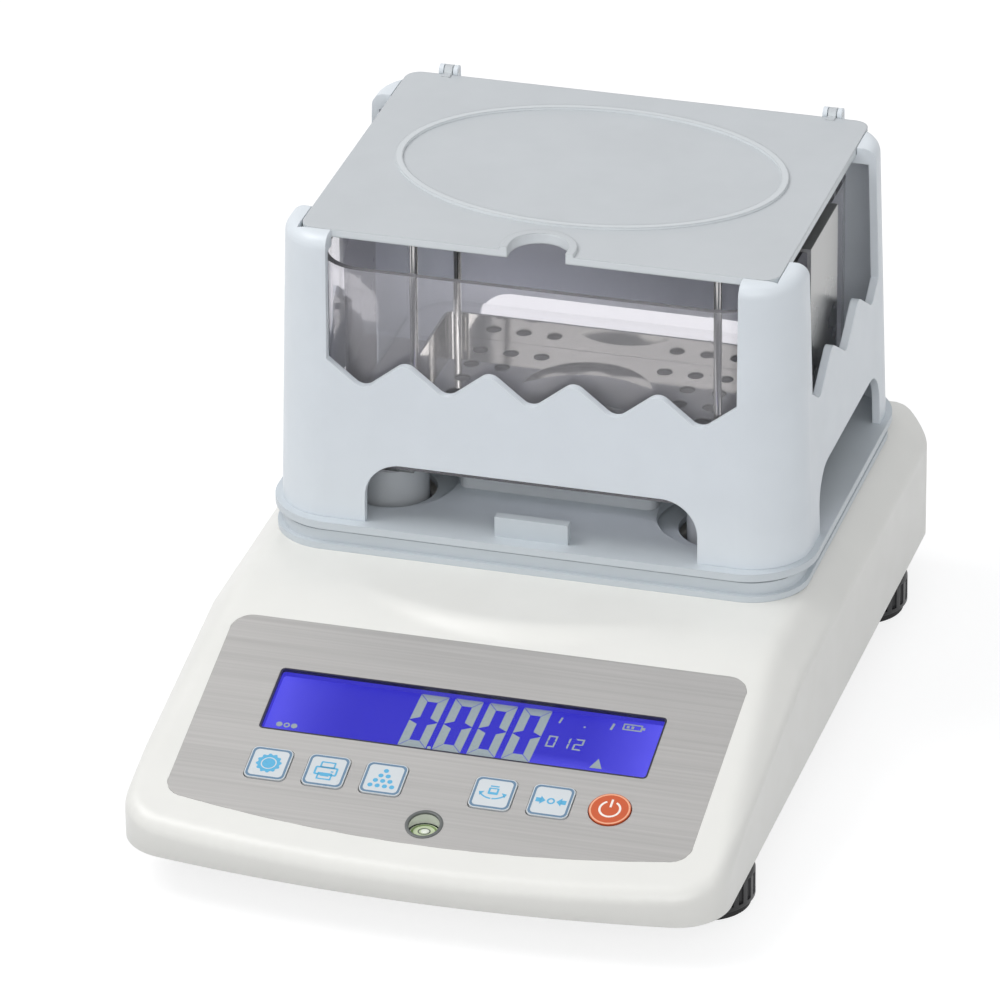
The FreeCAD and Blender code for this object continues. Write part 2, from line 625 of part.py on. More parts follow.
def base_pan():
    plate = housing_plate("pan_plate", d.wall + d.clearance, d.pan_bottom, PAN_TOP)
    parts = [plate]
    parts.append(cylinder("level_holder", d.holder_radius, d.holder_top - PAN_TOP, ZERO, LEVEL_Y, PAN_TOP))
    seat_radius = d.vial_radius + d.running_gap
    tools = [cylinder("vial_seat", seat_radius, d.vial_height, ZERO, LEVEL_Y, d.vial_bottom)]
    for name, (x, y) in FEET.items():
        height = d.insert_top - PAN_TOP
        parts.append(cylinder(f"foot_boss_{name}", d.foot_boss_radius, height, x, y, PAN_TOP))
        tools.append(cylinder(f"foot_bore_{name}", d.insert_radius, d.insert_top, x, y, d.clearance))
    for index, (x, y) in enumerate(BOARD_CORNERS):
        parts.append(cylinder(f"standoff_{index}", d.standoff_radius, d.board_lift, x, y, PAN_TOP))
        tools.append(cylinder(f"board_pilot_{index}", d.screw_radius + d.screw_gap, d.board_lift * 2,
                              x, y, PAN_TOP))
    for index, (x, y, top) in enumerate(BOSSES):
        tools.append(screw(f"pan_bore_{index}", (x, y), d.pan_bottom, d.screw_length, d.screw_gap, True))
    for index in range(VENTS):
        y = d.vent_y + d.vent_pitch * index
        tools.append(box(f"vent_{index}", grown((d.vent_x, d.vent_x), d.vent_length / 2),
                         (y, y + d.vent_width), (ZERO, PAN_TOP + d.overrun)))
    return node("base_pan", cut("base_pan", fuse("pan_form", *parts), *tools))


# Levelling feet
def feet():
    """Per foot a rubber pad, a turning wheel and its threaded stud, in a fixed insert."""
    wheel_top = d.foot_height
    for name, (x, y) in FEET.items():
        pad = cylinder(f"pad_{name}", d.pad_radius, d.pad_thickness, x, y, ZERO)
        spigot = cylinder(f"spigot_{name}", d.spigot_radius, d.spigot_height, x, y, d.pad_thickness)
        node(f"foot_pad_{name}", fuse(f"foot_pad_{name}", pad, spigot))
        wheel = cylinder(f"wheel_{name}", d.foot_radius, wheel_top - d.pad_thickness, x, y, d.pad_thickness)
        edge = document.addObject("Part::Fillet", f"wheel_edge_{name}")
        document.recompute()
        edge.Base = wheel
        top = max(range(3), key=lambda i: wheel.Shape.Edges[i].CenterOfMass.z)
        edge.Edges = [(top + 1, d.foot_edge.value, d.foot_edge.value)]
        tools = [cylinder(f"socket_{name}", d.spigot_radius + d.clearance, d.spigot_height + d.clearance,
                          x, y, d.pad_thickness),
                 cylinder(f"thread_{name}", d.stud_radius, d.foot_height, x, y, d.stud_start)]
        tools += flutes(name, x, y)
        node(f"foot_wheel_{name}", cut(f"foot_wheel_{name}", edge, *tools))
        node(f"foot_stud_{name}", cylinder(f"foot_stud_{name}", d.stud_radius, d.stud_top - d.stud_start,
                                           x, y, d.stud_start))
    inserts = []
    for name, (x, y) in FEET.items():
        sleeve = cylinder(f"sleeve_{name}", d.insert_radius, d.insert_top - d.pan_bottom, x, y, d.pan_bottom)
        radius = d.stud_radius + d.running_gap
        bore = cylinder(f"sleeve_bore_{name}", radius, d.insert_top, x, y, d.clearance)
        inserts.append(cut(f"insert_{name}", sleeve, bore))
    node("foot_inserts", group("foot_inserts", *inserts))


def flutes(name, x, y, count=24):
    """Grip grooves round one wheel."""
    tools = []
    for index in range(count):
        turn = math.tau * index / count
        tools.append(cylinder(f"flute_{name}_{index}", d.flute_radius, d.foot_height - d.pad_thickness * 2,
                              x + d.foot_radius * math.cos(turn), y + d.foot_radius * math.sin(turn),
                              d.pad_thickness * 1.5))
    return tools


# Control panel
FACE = -d.overlay_thickness
LENS_LOW = -d.wall - d.lens_flange
KEY_LOW = -d.wall - d.button_flange_height
ACTUATOR_TOP = KEY_LOW - d.button_travel - d.clearance
KEYPAD_TOP = ACTUATOR_TOP - d.switch_height
LCD_LOW = LENS_LOW - d.lcd_thickness
LIGHT_LOW = LCD_LOW - d.backlight_thickness
PANEL_BOSSES = [("keypad_left", -d.button_board_boss_x, d.button_along, KEYPAD_TOP),
                ("keypad_middle", ZERO, d.button_along, KEYPAD_TOP),
                ("keypad_right", d.button_board_boss_x, d.button_along, KEYPAD_TOP),
                ("display_left", -d.display_boss_x, -d.window_depth / 2, LCD_LOW),
                ("display_right", d.display_boss_x, -d.window_depth / 2, LCD_LOW)]


def panel_overlay():
    sheet_part = prism("overlay_sheet", "XY", FACE, ZERO, overlay_points(d.screw_gap))
    on_panel(sheet_part)
    tools = panel_openings("overlay_hole", (FACE * 2, d.overrun))
    return node("panel_overlay", cut("panel_overlay", sheet_part, *tools))


def display():
    gap = d.screw_gap
    glass = panel_slab("lens_top", grown(WINDOW[0], -gap), grown(WINDOW[1], -gap),
                       (-d.wall, ZERO), d.window_corner - gap)
    flange = panel_slab("lens_flange", grown(WINDOW[0], d.lcd_margin), grown(WINDOW[1], d.lcd_margin),
                        (LENS_LOW, -d.wall), d.window_corner)
    node("display_window", fuse("display_window", glass, flange))
    node("lcd_module", panel_slab("lcd_module", grown(WINDOW[0], d.lcd_margin),
                                  grown(WINDOW[1], d.lcd_margin), (LCD_LOW, LENS_LOW), d.window_corner))
    plate = panel_slab("light_plate", grown(WINDOW[0], d.display_boss_x - d.window_half_length
                                            + d.standoff_radius), grown(WINDOW[1], d.lcd_margin),
                       (LIGHT_LOW, LCD_LOW), d.window_corner)
    tools = [panel_round(f"light_hole_{i}", d.screw_radius + gap, x, -d.window_depth / 2,
                         (LIGHT_LOW - gap, LCD_LOW + gap)) for i, x in enumerate(both(d.display_boss_x))]
    node("lcd_backlight", cut("lcd_backlight", plate, *tools))


def keys():
    for name, x in KEY_PLACES.items():
        cap = key_square(f"{name}_cap", x, d.button_side / 2, (-d.wall, d.button_proud), d.button_corner)
        flange = key_square(f"{name}_flange", x, d.button_side / 2 + d.button_flange, (KEY_LOW, -d.wall),
                            d.button_corner)
        node(name, fuse(name, cap, flange))
    x = d.round_button_x
    cap = panel_round("power_cap", d.round_button_radius, x, d.button_along, (-d.wall, d.button_proud))
    flange = panel_round("power_flange", d.round_button_radius + d.button_flange, x, d.button_along,
                         (KEY_LOW, -d.wall))
    node("power_key", fuse("power_key", cap, flange))
    switches = []
    for index, x in enumerate([*KEY_PLACES.values(), d.round_button_x]):
        half = d.switch_side / 2
        case = panel_slab(f"switch_case_{index}", (x - half, x + half),
                          (d.button_along - half, d.button_along + half),
                          (KEYPAD_TOP, ACTUATOR_TOP - d.actuator_height), d.actuator_height / 2)
        button = panel_round(f"actuator_{index}", d.actuator_radius, x, d.button_along,
                             (ACTUATOR_TOP - d.actuator_height, ACTUATOR_TOP))
        switches.append(fuse(f"switch_{index}", case, button))
    node("key_switches", group("key_switches", *switches))
    low = KEYPAD_TOP - d.board_thickness
    board = panel_slab("keypad_plate", both(d.button_board_half_length),
                       grown((d.button_along, d.button_along), d.button_board_half_depth), (low, KEYPAD_TOP),
                       d.window_corner)
    tools = [panel_round(f"keypad_hole_{i}", d.screw_radius + d.screw_gap, x, d.button_along,
                         (low - d.screw_gap, KEYPAD_TOP + d.screw_gap))
             for i, x in enumerate((-d.button_board_boss_x, ZERO, d.button_board_boss_x))]
    node("keypad_board", cut("keypad_board", board, *tools))


def panel_screws():
    """The screws that hold the key board and the display from behind."""
    items = []
    for name, x, along, top in PANEL_BOSSES:
        thickness = d.backlight_thickness if name.startswith("display") else d.board_thickness
        low = top - thickness
        head = panel_round(f"panel_head_{name}", d.screw_head_radius, x, along,
                           (low - d.screw_head_height, low))
        shank = panel_round(f"panel_shank_{name}", d.screw_radius, x, along,
                            (low, low + d.panel_screw_length))
        items.append(fuse(f"panel_screw_{name}", head, shank))
    return node("panel_screws", group("panel_screws", *items))


# Electronics
def board():
    plate = box("board_plate", both(d.board_half_width), (d.board_front, d.board_rear),
                (BOARD_BOTTOM, BOARD_TOP))
    tools = [cylinder(f"board_hole_{i}", d.screw_radius + d.screw_gap, d.board_lift, x, y,
                      BOARD_BOTTOM - d.clearance) for i, (x, y) in enumerate(BOARD_CORNERS)]
    node("main_board", cut("main_board", plate, *tools))
    screw_set("board_screws", BOARD_CORNERS, BOARD_TOP + d.screw_head_height, d.board_screw_length)
    unit = d.board_half_width / 6
    front = d.board_front
    blocks = [(-4, -2, 2, 4, 0.2), (-1, 1, 1.5, 3.5, 0.15), (2, 4.5, 1.5, 4.5, 0.5), (-4, -2.5, 5, 6.5, 0.5),
              (-1.5, 1.5, 5.5, 6.5, 0.6)]
    items = [box(f"chip_{i}", (unit * left, unit * right), (front + unit * low, front + unit * high),
                 (BOARD_TOP, BOARD_TOP + unit * tall))
             for i, (left, right, low, high, tall) in enumerate(blocks)]
    items += [cylinder(f"capacitor_{i}", unit * 0.3, unit * 0.6, unit * (2.5 + i), front + unit * 6,
                       BOARD_TOP) for i in range(2)]
    node("board_parts", group("board_parts", *items))


def sockets():
    z = d.socket_height
    inner = REAR - d.wall
    barrel = cylinder("jack_barrel", d.jack_radius, d.wall, d.jack_x, inner, z, "Y")
    case = box("jack_case", grown((d.jack_x, d.jack_x), d.jack_width / 2), (inner - d.jack_depth, inner),
               grown((z, z), d.jack_width / 2))
    bore = cylinder("jack_bore", d.jack_bore_radius, d.jack_depth, d.jack_x, inner - d.jack_depth / 2, z,
                    "Y")
    pin = cylinder("jack_pin", d.jack_bore_radius / 3, d.jack_depth / 2, d.jack_x,
                   inner - d.jack_depth * 0.6, z, "Y")
    node("dc_jack", fuse("dc_jack", cut("jack_form", fuse("jack_mass", barrel, case), bore), pin))
    shell = box("port_shell", grown((d.port_x, d.port_x), d.port_half_width), (inner - d.port_depth, REAR),
                grown((z, z), d.port_half_height))
    flange = box("port_flange", grown((d.port_x, d.port_x), d.port_flange),
                 (inner - d.port_shell * 2, inner), grown((z, z), d.port_half_height + d.port_shell * 2))
    room = box("port_room", grown((d.port_x, d.port_x), d.port_half_width - d.port_shell),
               (inner - d.port_depth / 2, REAR + d.overrun),
               grown((z, z), d.port_half_height - d.port_shell))
    insert = box("port_insert", grown((d.port_x, d.port_x), d.port_half_width - d.port_shell * 2),
                 (inner - d.port_depth / 2 - d.port_shell, REAR - d.port_shell * 2),
                 grown((z, z), d.port_half_height - d.port_shell * 2.5))
    body = cut("port_form", fuse("port_mass", shell, flange), room)
    node("serial_port", fuse("serial_port", body, insert))


def level_vial():
    vial = cylinder("level_vial", d.vial_radius, d.vial_height, ZERO, LEVEL_Y, d.vial_bottom)
    return node("level_vial", vial)


# Weighing chain in the base
CHASSIS_TOP = PAN_TOP + d.chassis_thickness
CELL_LOW = CHASSIS_TOP + d.cell_gap
CELL_TOP = CELL_LOW + d.cell_height
ARM_LOW = CELL_TOP + d.carrier_block_height
ARM_TOP = ARM_LOW + d.carrier_thickness
CELL_MIDDLE = (d.cell_front + d.cell_rear) / 2
FREE_SCREWS = [(ZERO, d.cell_front + d.cell_end * share) for share in (0.25, 0.75)]
FIXED_SCREWS = [(ZERO, d.cell_rear - d.cell_screw_edge - d.cell_screw_spacing * k) for k in (0, 1)]
STOPS = [(x, d.cell_front + d.cell_end / 4) for x in both(d.cell_width / 3)]


def cap_screw(name, place, seat, gap=ZERO):
    """A socket-head screw that stands on its seat, or its bore."""
    x, y = place
    head = cylinder(f"{name}_head", d.cell_screw_head_radius, d.cell_screw_head_height, x, y, seat)
    length = d.cell_screw_depth + gap
    shank = cylinder(f"{name}_shank", d.cell_screw_radius + gap, length, x, y, seat - length)
    return fuse(name, head, shank)


def load_cell():
    half = d.cell_width / 2
    beam = box("beam", both(half), (d.cell_front, d.cell_rear), (CELL_LOW, CELL_TOP))
    middle = CELL_LOW + d.cell_height / 2
    tools = [cylinder(f"cell_bore_{i}", d.cell_bore_radius, d.cell_width * 2, -d.cell_width, y, middle, "X")
             for i, y in enumerate(grown((CELL_MIDDLE, CELL_MIDDLE), d.cell_bore_spacing))]
    tools.append(box("cell_slot", both(d.cell_width), grown((CELL_MIDDLE, CELL_MIDDLE), d.cell_bore_spacing),
                     grown((middle, middle), d.cell_slot / 2)))
    tools += [cap_screw(f"free_bore_{i}", p, ARM_TOP, d.screw_gap) for i, p in enumerate(FREE_SCREWS)]
    tools += [cap_screw(f"fixed_bore_{i}", p, CELL_TOP, d.screw_gap) for i, p in enumerate(FIXED_SCREWS)]
    node("load_cell", cut("load_cell", beam, *tools))
    node("cell_base_block", box("cell_base_block", both(half), (d.cell_rear - d.cell_end, d.cell_rear),
                                (CHASSIS_TOP, CELL_LOW)))
    for name, places, seat in (("carrier_screws", FREE_SCREWS, ARM_TOP),
                               ("cell_screws", FIXED_SCREWS, CELL_TOP)):
        node(name, group(name, *[cap_screw(f"{name}_{i}", p, seat) for i, p in enumerate(places)]))


def chassis():
    plate = slab("chassis_form", both(d.chassis_half_width), (d.chassis_front, d.chassis_rear),
                 (PAN_TOP, CHASSIS_TOP), d.window_corner)
    bores = [cylinder(f"stop_bore_{i}", d.stop_radius, d.chassis_thickness * 3, x, y,
                      PAN_TOP - d.chassis_thickness) for i, (x, y) in enumerate(STOPS)]
    node("chassis_plate", cut("chassis_plate", plate, *bores))
    stops = [cylinder(f"stop_{i}", d.stop_radius, CELL_LOW - d.stop_gap - PAN_TOP, x, y, PAN_TOP)
             for i, (x, y) in enumerate(STOPS)]
    node("overload_stops", group("overload_stops", *stops))
    nuts = []
    for i, (x, y) in enumerate(STOPS):
        ring = cylinder(f"nut_ring_{i}", d.stop_nut_radius, d.stop_nut_height, x, y, CHASSIS_TOP)
        hole = cylinder(f"nut_hole_{i}", d.stop_radius, d.stop_nut_height * 3, x, y, PAN_TOP)
        nuts.append(cut(f"nut_{i}", ring, hole))
    node("stop_nuts", group("stop_nuts", *nuts))


def carrier():
    half = d.cell_width / 2
    block = box("block_form", both(half), (d.cell_front, d.cell_front + d.cell_end), (CELL_TOP, ARM_LOW))
    bores = [cap_screw(f"block_bore_{i}", p, ARM_TOP, d.screw_gap) for i, p in enumerate(FREE_SCREWS)]
    node("carrier_block", cut("carrier_block", block, *bores))
    arm = d.carrier_arm_width / 2
    bars = [box("spine", both(arm), (d.cell_front, d.post_rear_y), (ARM_LOW, ARM_TOP))]
    for i, y in enumerate((d.post_front_y, d.post_rear_y)):
        bars.append(box(f"arm_{i}", both(d.post_x), (y - arm, y + arm), (ARM_LOW, ARM_TOP)))
        bars += [cylinder(f"arm_end_{i}_{j}", arm, d.carrier_thickness, x, y, ARM_LOW)
                 for j, x in enumerate(both(d.post_x))]
    bores = [cap_screw(f"arm_bore_{i}", p, ARM_TOP, d.screw_gap) for i, p in enumerate(FREE_SCREWS)]
    node("weighing_carrier", cut("weighing_carrier", fuse("carrier_form", *bars), *bores))
    posts = [cylinder(f"post_{i}", d.post_radius, d.post_top - ARM_TOP, x, y, ARM_TOP)
             for i, (x, y) in enumerate(POSTS)]
    node("carrier_posts", group("carrier_posts", *posts))


# Plates on the housing
def post_holes(prefix, radius, low, high):
    return [cylinder(f"{prefix}_{i}", radius, high - low, x, y, low) for i, (x, y) in enumerate(POSTS)]


PLATE_LOW = d.deck_top + d.plate_pad_height
PLATE_TOP = PLATE_LOW + d.plate_thickness


def deck():
    x, y = both(d.deck_half_width), (d.deck_front, d.deck_rear)
    low = d.plateau_height
    top = slab("deck_top", x, y, (low, d.deck_top), d.deck_corner)
    rim = slab("deck_rim", grown(x, d.deck_flange), grown(y, d.deck_flange),
               (low, low + d.deck_flange_height), d.deck_corner + d.deck_flange)
    room = slab("deck_room", grown(x, -d.wall), grown(y, -d.wall), (low - d.overrun, d.deck_top - d.wall),
                d.deck_corner - d.wall)
    shell = cut("deck_shell", fuse("deck_mass", top, rim), room)
    bosses = [cylinder(f"deck_post_{i}", d.boss_radius, d.deck_top - d.wall / 2 - low, px, py, low)
              for i, (px, py) in enumerate(DECK_SCREWS)]
    tools = post_holes("deck_hole", d.post_radius + d.post_gap, low - d.overrun, d.deck_top + d.overrun)
    tools += [screw(f"deck_bore_{i}", p, d.deck_top, d.screw_length * 2, d.screw_gap)
              for i, p in enumerate(DECK_SCREWS)]
    node("deck_plate", cut("deck_plate", fuse("deck_form", shell, *bosses), *tools))
    screw_set("deck_screws", DECK_SCREWS, d.deck_top, d.screw_length + d.deck_top - low - d.clearance)
    pads = [cylinder(f"plate_pad_{i}", d.plate_pad_radius, d.plate_pad_height, px, py, d.deck_top)
            for i, (px, py) in enumerate((px, py) for px in both(d.plate_pad_x)
                                         for py in (d.plate_pad_front_y, d.plate_pad_rear_y))]
    node("plate_pads", group("plate_pads", *pads))


def shield_base():
    plate = slab("base_plate", both(d.plate_half_width), (d.plate_front, d.plate_rear),
                 (PLATE_LOW, PLATE_TOP), d.plate_corner)
    grip = box("grip", both(d.grip_half_width), (d.grip_front, d.grip_front + d.grip_depth),
               (PLATE_LOW, PLATE_TOP + d.grip_height))
    holes = post_holes("base_hole", d.plate_hole_radius, PLATE_LOW - d.overrun, PLATE_TOP + d.overrun)
    return node("shield_base", cut("shield_base", fuse("base_form", plate, grip), *holes))


# Tank, weighing frame and basket
STAND_TOP = PLATE_TOP + d.stand_height
FRAME_LOW = d.post_top
FRAME_TOP = FRAME_LOW + d.frame_height


def tank():
    ledge = STAND_TOP - d.stand_top_thickness
    x, y = both(d.stand_half_width), (d.stand_front, d.stand_rear)
    plinth = slab("plinth", x, y, (PLATE_TOP, ledge), d.window_corner * 2)
    room = slab("plinth_room", grown(x, -d.wall), grown(y, -d.wall), (PLATE_TOP - d.overrun, ledge),
                d.window_corner)
    top = slab("stand_top", both(d.stand_top_half_width), (d.stand_top_front, d.stand_top_rear),
               (ledge, STAND_TOP), d.tank_corner)
    node("tank_stand", fuse("tank_stand", cut("plinth_shell", plinth, room), top))
    x, y = both(d.tank_half_width), (d.tank_front, d.tank_rear)
    outer = slab("tank_outer", x, y, (STAND_TOP, STAND_TOP + d.tank_height), d.tank_corner)
    inner = slab("tank_inner", grown(x, -d.tank_wall), grown(y, -d.tank_wall),
                 (STAND_TOP + d.tank_wall, STAND_TOP + d.tank_height + d.overrun),
                 d.tank_corner - d.tank_wall)
    node("water_tank", cut("water_tank", outer, inner))


def weighing_frame():
    half, sheet_part = d.frame_half_width, d.frame_sheet
    band = grown((d.basket_centre_y, d.basket_centre_y), d.frame_band / 2)
    parts = [box("frame_bar", both(half), band, (FRAME_TOP - sheet_part, FRAME_TOP))]
    for name, inner, outer in (("right", d.frame_foot_inner, half), ("left", -half, -d.frame_foot_inner)):
        wall = (half - sheet_part, half) if name == "right" else (-half, sheet_part - half)
        parts.append(box(f"frame_foot_{name}", (inner, outer), (d.frame_foot_front, d.frame_foot_rear),
                         (FRAME_LOW, FRAME_LOW + sheet_part)))
        parts.append(box(f"frame_upright_{name}", wall, band, (FRAME_LOW, FRAME_TOP)))
    return node("weighing_frame", fuse("weighing_frame", *parts))


def basket():
    x = both(d.tray_half_width)
    y = grown((d.basket_centre_y, d.basket_centre_y), d.tray_half_depth)
    low, floor = d.tray_bottom, d.tray_bottom + d.tray_sheet
    outer = slab("tray_outer", x, y, (low, low + d.tray_wall), d.window_corner * 2)
    inner = slab("tray_inner", grown(x, -d.tray_sheet), grown(y, -d.tray_sheet),
                 (floor, low + d.tray_wall + d.overrun), d.window_corner)
    radius = (d.dish_radius * d.dish_radius + d.dish_height * d.dish_height) / (2 * d.dish_height)
    domes = []
    for name, centre in (("over", floor), ("under", low)):
        ball = document.addObject("Part::Sphere", f"dish_ball_{name}")
        bind(ball, "Radius", radius)
        place(ball, ZERO, d.basket_centre_y, centre + d.dish_height - radius)
        side = d.dish_radius * 2
        room = box(f"dish_room_{name}", both(side), (d.basket_centre_y - side, d.basket_centre_y + side),
                   (centre, centre + d.dish_height * 2))
        domes.append(common(f"dish_{name}", ball, room))
    tray = fuse("tray_form", cut("tray_shell", outer, inner), domes[0])
    tools = [domes[1]]
    pitch = d.tray_hole_pitch
    for i in range(-4, 5):
        for j in range(-2, 3):
            if math.hypot(i, j) * pitch.value > (d.dish_radius + d.tray_hole_radius).value:
                tools.append(cylinder(f"tray_hole_{i + 4}_{j + 2}", d.tray_hole_radius, d.tray_wall,
                                      pitch * i, d.basket_centre_y + pitch * j, low - d.tray_sheet))
    parts = [cut("tray", tray, *tools)]
    top = FRAME_TOP + d.frame_sheet
    for i, px in enumerate(both(d.hanger_x)):
        for j, py in enumerate(grown((d.basket_centre_y, d.basket_centre_y), d.hanger_spread)):
            parts.append(cylinder(f"hanger_{i}_{j}", d.hanger_radius, top - low, px, py, low))
        parts.append(box(f"hanger_strip_{i}", grown((px, px), d.hanger_strip_width / 2),
                         grown((d.basket_centre_y, d.basket_centre_y),
                               d.hanger_spread + d.hanger_radius * 3),
                         (FRAME_TOP, top)))
    return node("immersion_basket", fuse("immersion_basket", *parts))


# Wind shield and lid
LID_LOW = d.shield_top - d.lid_thickness
HINGE_Y = d.lid_rear + d.hinge_offset
HINGE_Z = d.shield_top + d.hinge_rise
EAR_INNER = d.knuckle_width / 2 + d.hinge_gap


def wave_window(low, high, middle, pitch, slope, teeth):
    """The points of a window, open at the top, whose lower edge is a row of rounded teeth."""
    top = d.shield_top + d.overrun
    run = d.wave_round * sine(slope)
    rise = run * tangent(slope)
    first = middle - pitch * (teeth / 2)
    points = [(low, top), (low, d.wave_trough + (first - low) * tangent(slope))]
    for k in range(2 * teeth + 1):
        centre = first + pitch * (k / 2)
        level = d.wave_trough + rise
        if k % 2:
            level = d.wave_trough + pitch / 2 * tangent(slope) - rise
        points.append((centre - run, level, d.wave_round, k % 2 == 0))
        points.append((centre + run, level))
    last = first + pitch * teeth
    return points + [(high, d.wave_trough + (high - last) * tangent(slope)), (high, top)]


def arch(low, high, level):
    """The points of an opening with round upper corners that starts below the shield's edge."""
    r, foot = d.arch_corner, level - d.overrun
    top = level + d.arch_height
    return [(low, foot), (high, foot), (high, top - r, r, True), (high - r, top), (low + r, top, r, True),
            (low, top - r)]


def wind_shield():
    x, y = both(d.shield_half_width), (d.shield_front, d.shield_rear)
    outer = slab("shield_outer", x, y, (PLATE_TOP, d.shield_top), d.shield_corner, d.shield_draft)
    document.recompute()
    skin = document.addObject("Part::Fillet", "shield_skin")
    skin.Base = outer
    top_edges = [i for i, e in enumerate(outer.Shape.Edges, start=1)
                 if abs(e.CenterOfMass.z - d.shield_top.value) < d.running_gap.value]
    skin.Edges = [(i, d.shield_edge.value, d.shield_edge.value) for i in top_edges]
    room = slab("shield_room", grown(x, -d.shield_wall), grown(y, -d.shield_wall),
                (PLATE_TOP, d.shield_top + d.overrun), d.shield_corner - d.shield_wall, d.shield_draft)
    ledge = LID_LOW - d.ledge_thickness
    z = (ledge, d.shield_top)
    caps = []
    for name, sign in (("left", -1), ("right", 1)):
        for kind, start, where in (("cap", d.window_half_width, (d.shield_front, d.lid_front)),
                                   ("front", d.ledge_start, (d.shield_front, d.side_window_front)),
                                   ("rear", d.ledge_start, (d.side_window_rear, d.shield_rear))):
            sides = (start, d.shield_half_width) if sign > 0 else (-d.shield_half_width, -start)
            caps.append(box(f"{kind}_{name}", sides, where, z))
    filled = common("shield_caps", skin, fuse("cap_boxes", *caps))
    walls = fuse("shield_walls", cut("shield_tube", skin, room), filled)
    gap = d.clearance
    tools = [box("lid_pocket", grown(both(d.lid_half_width), gap),
                 (d.lid_front - gap, d.shield_rear + d.overrun), (LID_LOW, d.shield_top + d.overrun)),
             prism("front_window", "XZ", -d.lid_front, -d.shield_front + d.overrun,
                   wave_window(-d.window_half_width, d.window_half_width, ZERO, d.wave_pitch,
                               d.wave_slope, FRONT_TEETH_COUNT)),
             prism("side_windows", "YZ", -d.shield_half_width - d.overrun, d.shield_half_width + d.overrun,
                   wave_window(d.side_window_front, d.side_window_rear, SIDE_MIDDLE, d.side_wave_pitch,
                               d.side_wave_slope, SIDE_TEETH_COUNT)),
             prism("long_arches", "XZ", -d.shield_rear - d.overrun, -d.shield_front + d.overrun,
                   arch(-d.arch_half_width, d.arch_half_width, PLATE_TOP)),
             prism("side_arches", "YZ", -d.shield_half_width - d.overrun, d.shield_half_width + d.overrun,
                   arch(d.side_arch_front, d.side_arch_rear, PLATE_TOP))]
    body = cut("shield_form", walls, *tools)
    ears = []
    for side, centre in zip(("left", "right"), both(d.hinge_x)):
        for k, sign in enumerate((-1, 1)):
            near, far = centre + EAR_INNER * sign, centre + (EAR_INNER + d.ear_width) * sign
            sides = (near, far) if sign > 0 else (far, near)
            name = f"ear_{side}_{k}"
            back = HINGE_Y + d.knuckle_radius
            ears.append(box(f"{name}_foot", sides, (d.lid_rear - d.shield_wall / 2, back),
                            (LID_LOW - d.ear_drop, LID_LOW - d.clearance)))
            ears.append(box(f"{name}_rise", sides, (HINGE_Y - d.knuckle_radius, back),
                            (LID_LOW - d.ear_drop, HINGE_Z)))
            ears.append(cylinder(f"{name}_eye", d.knuckle_radius, d.ear_width, sides[0], HINGE_Y,
                                 HINGE_Z, "X"))
    bores = [cylinder(f"ear_bore_{i}", d.pin_radius + d.running_gap, d.hinge_span, cx - d.hinge_span / 2,
                      HINGE_Y, HINGE_Z, "X") for i, cx in enumerate(both(d.hinge_x))]
    node("wind_shield", cut("wind_shield", fuse("shield_eared", body, *ears), *bores))


SIDE_MIDDLE = (d.side_window_front + d.side_window_rear) / 2


def oval(name, half_length, half_depth, low, high):
    """An upright bar of elliptical section."""
    ring = document.addObject("Part::Ellipse", f"{name}_edge")
    bind(ring, "MajorRadius", half_length)
    bind(ring, "MinorRadius", half_depth)
    place(ring, ZERO, d.bead_centre_y, low)
    bar = document.addObject("Part::Extrusion", name)
    bar.Base = ring
    bar.DirMode = "Custom"
    bar.Dir = Vector(0, 0, 1)
    bar.Solid = True
    bind(bar, "LengthFwd", high - low)
    return bar


def lid():
    top = d.shield_top
    plate = slab("lid_plate", both(d.lid_half_width), (d.lid_front, d.lid_rear), (LID_LOW, top),
                 d.lid_corner)
    bead = cut("lid_bead", oval("bead_outer", d.bead_half_length, d.bead_half_depth, top - d.bead_height,
                                top + d.bead_height),
               oval("bead_inner", d.bead_half_length - d.bead_width, d.bead_half_depth - d.bead_width,
                    top - d.bead_height * 2, top + d.bead_height * 2))
    centre = d.lid_front + d.notch_depth
    rims, tools = [], []
    for name, radius, low, high, items in (
            ("rim", d.notch_radius + d.notch_rim, LID_LOW, top + d.notch_rim_height, rims),
            ("notch", d.notch_radius, LID_LOW - d.overrun, top + d.overrun, tools)):
        front = d.lid_front if name == "rim" else d.lid_front - d.overrun
        round_part = cylinder(f"{name}_round", radius, high - low, ZERO, centre, low)
        items.append(box(f"{name}_straight", both(radius), (front, centre), (low, high)))
        ahead = box(f"{name}_limit", both(radius), (front, centre + radius), (low, high))
        items.append(common(f"{name}_half", round_part, ahead))
    parts = [plate, bead, *rims]
    for side, hx in zip(("left", "right"), both(d.hinge_x)):
        sides = grown((hx, hx), d.knuckle_width / 2)
        parts.append(cylinder(f"knuckle_{side}", d.knuckle_radius, d.knuckle_width, sides[0], HINGE_Y,
                              HINGE_Z, "X"))
        parts.append(box(f"knuckle_web_{side}", sides, (d.lid_rear - d.hinge_offset, HINGE_Y),
                         (LID_LOW + d.clearance, HINGE_Z)))
        tools.append(cylinder(f"knuckle_bore_{side}", d.pin_radius + d.running_gap, d.knuckle_width * 2,
                              hx - d.knuckle_width, HINGE_Y, HINGE_Z, "X"))
    node("lid", cut("lid", fuse("lid_form", *parts), *tools))
    length = (EAR_INNER + d.ear_width) * 2
    pins = [cylinder(f"pin_{i}", d.pin_radius, length, hx - length / 2, HINGE_Y, HINGE_Z, "X")
            for i, hx in enumerate(both(d.hinge_x))]
    node("lid_hinge_pins", group("lid_hinge_pins", *pins))


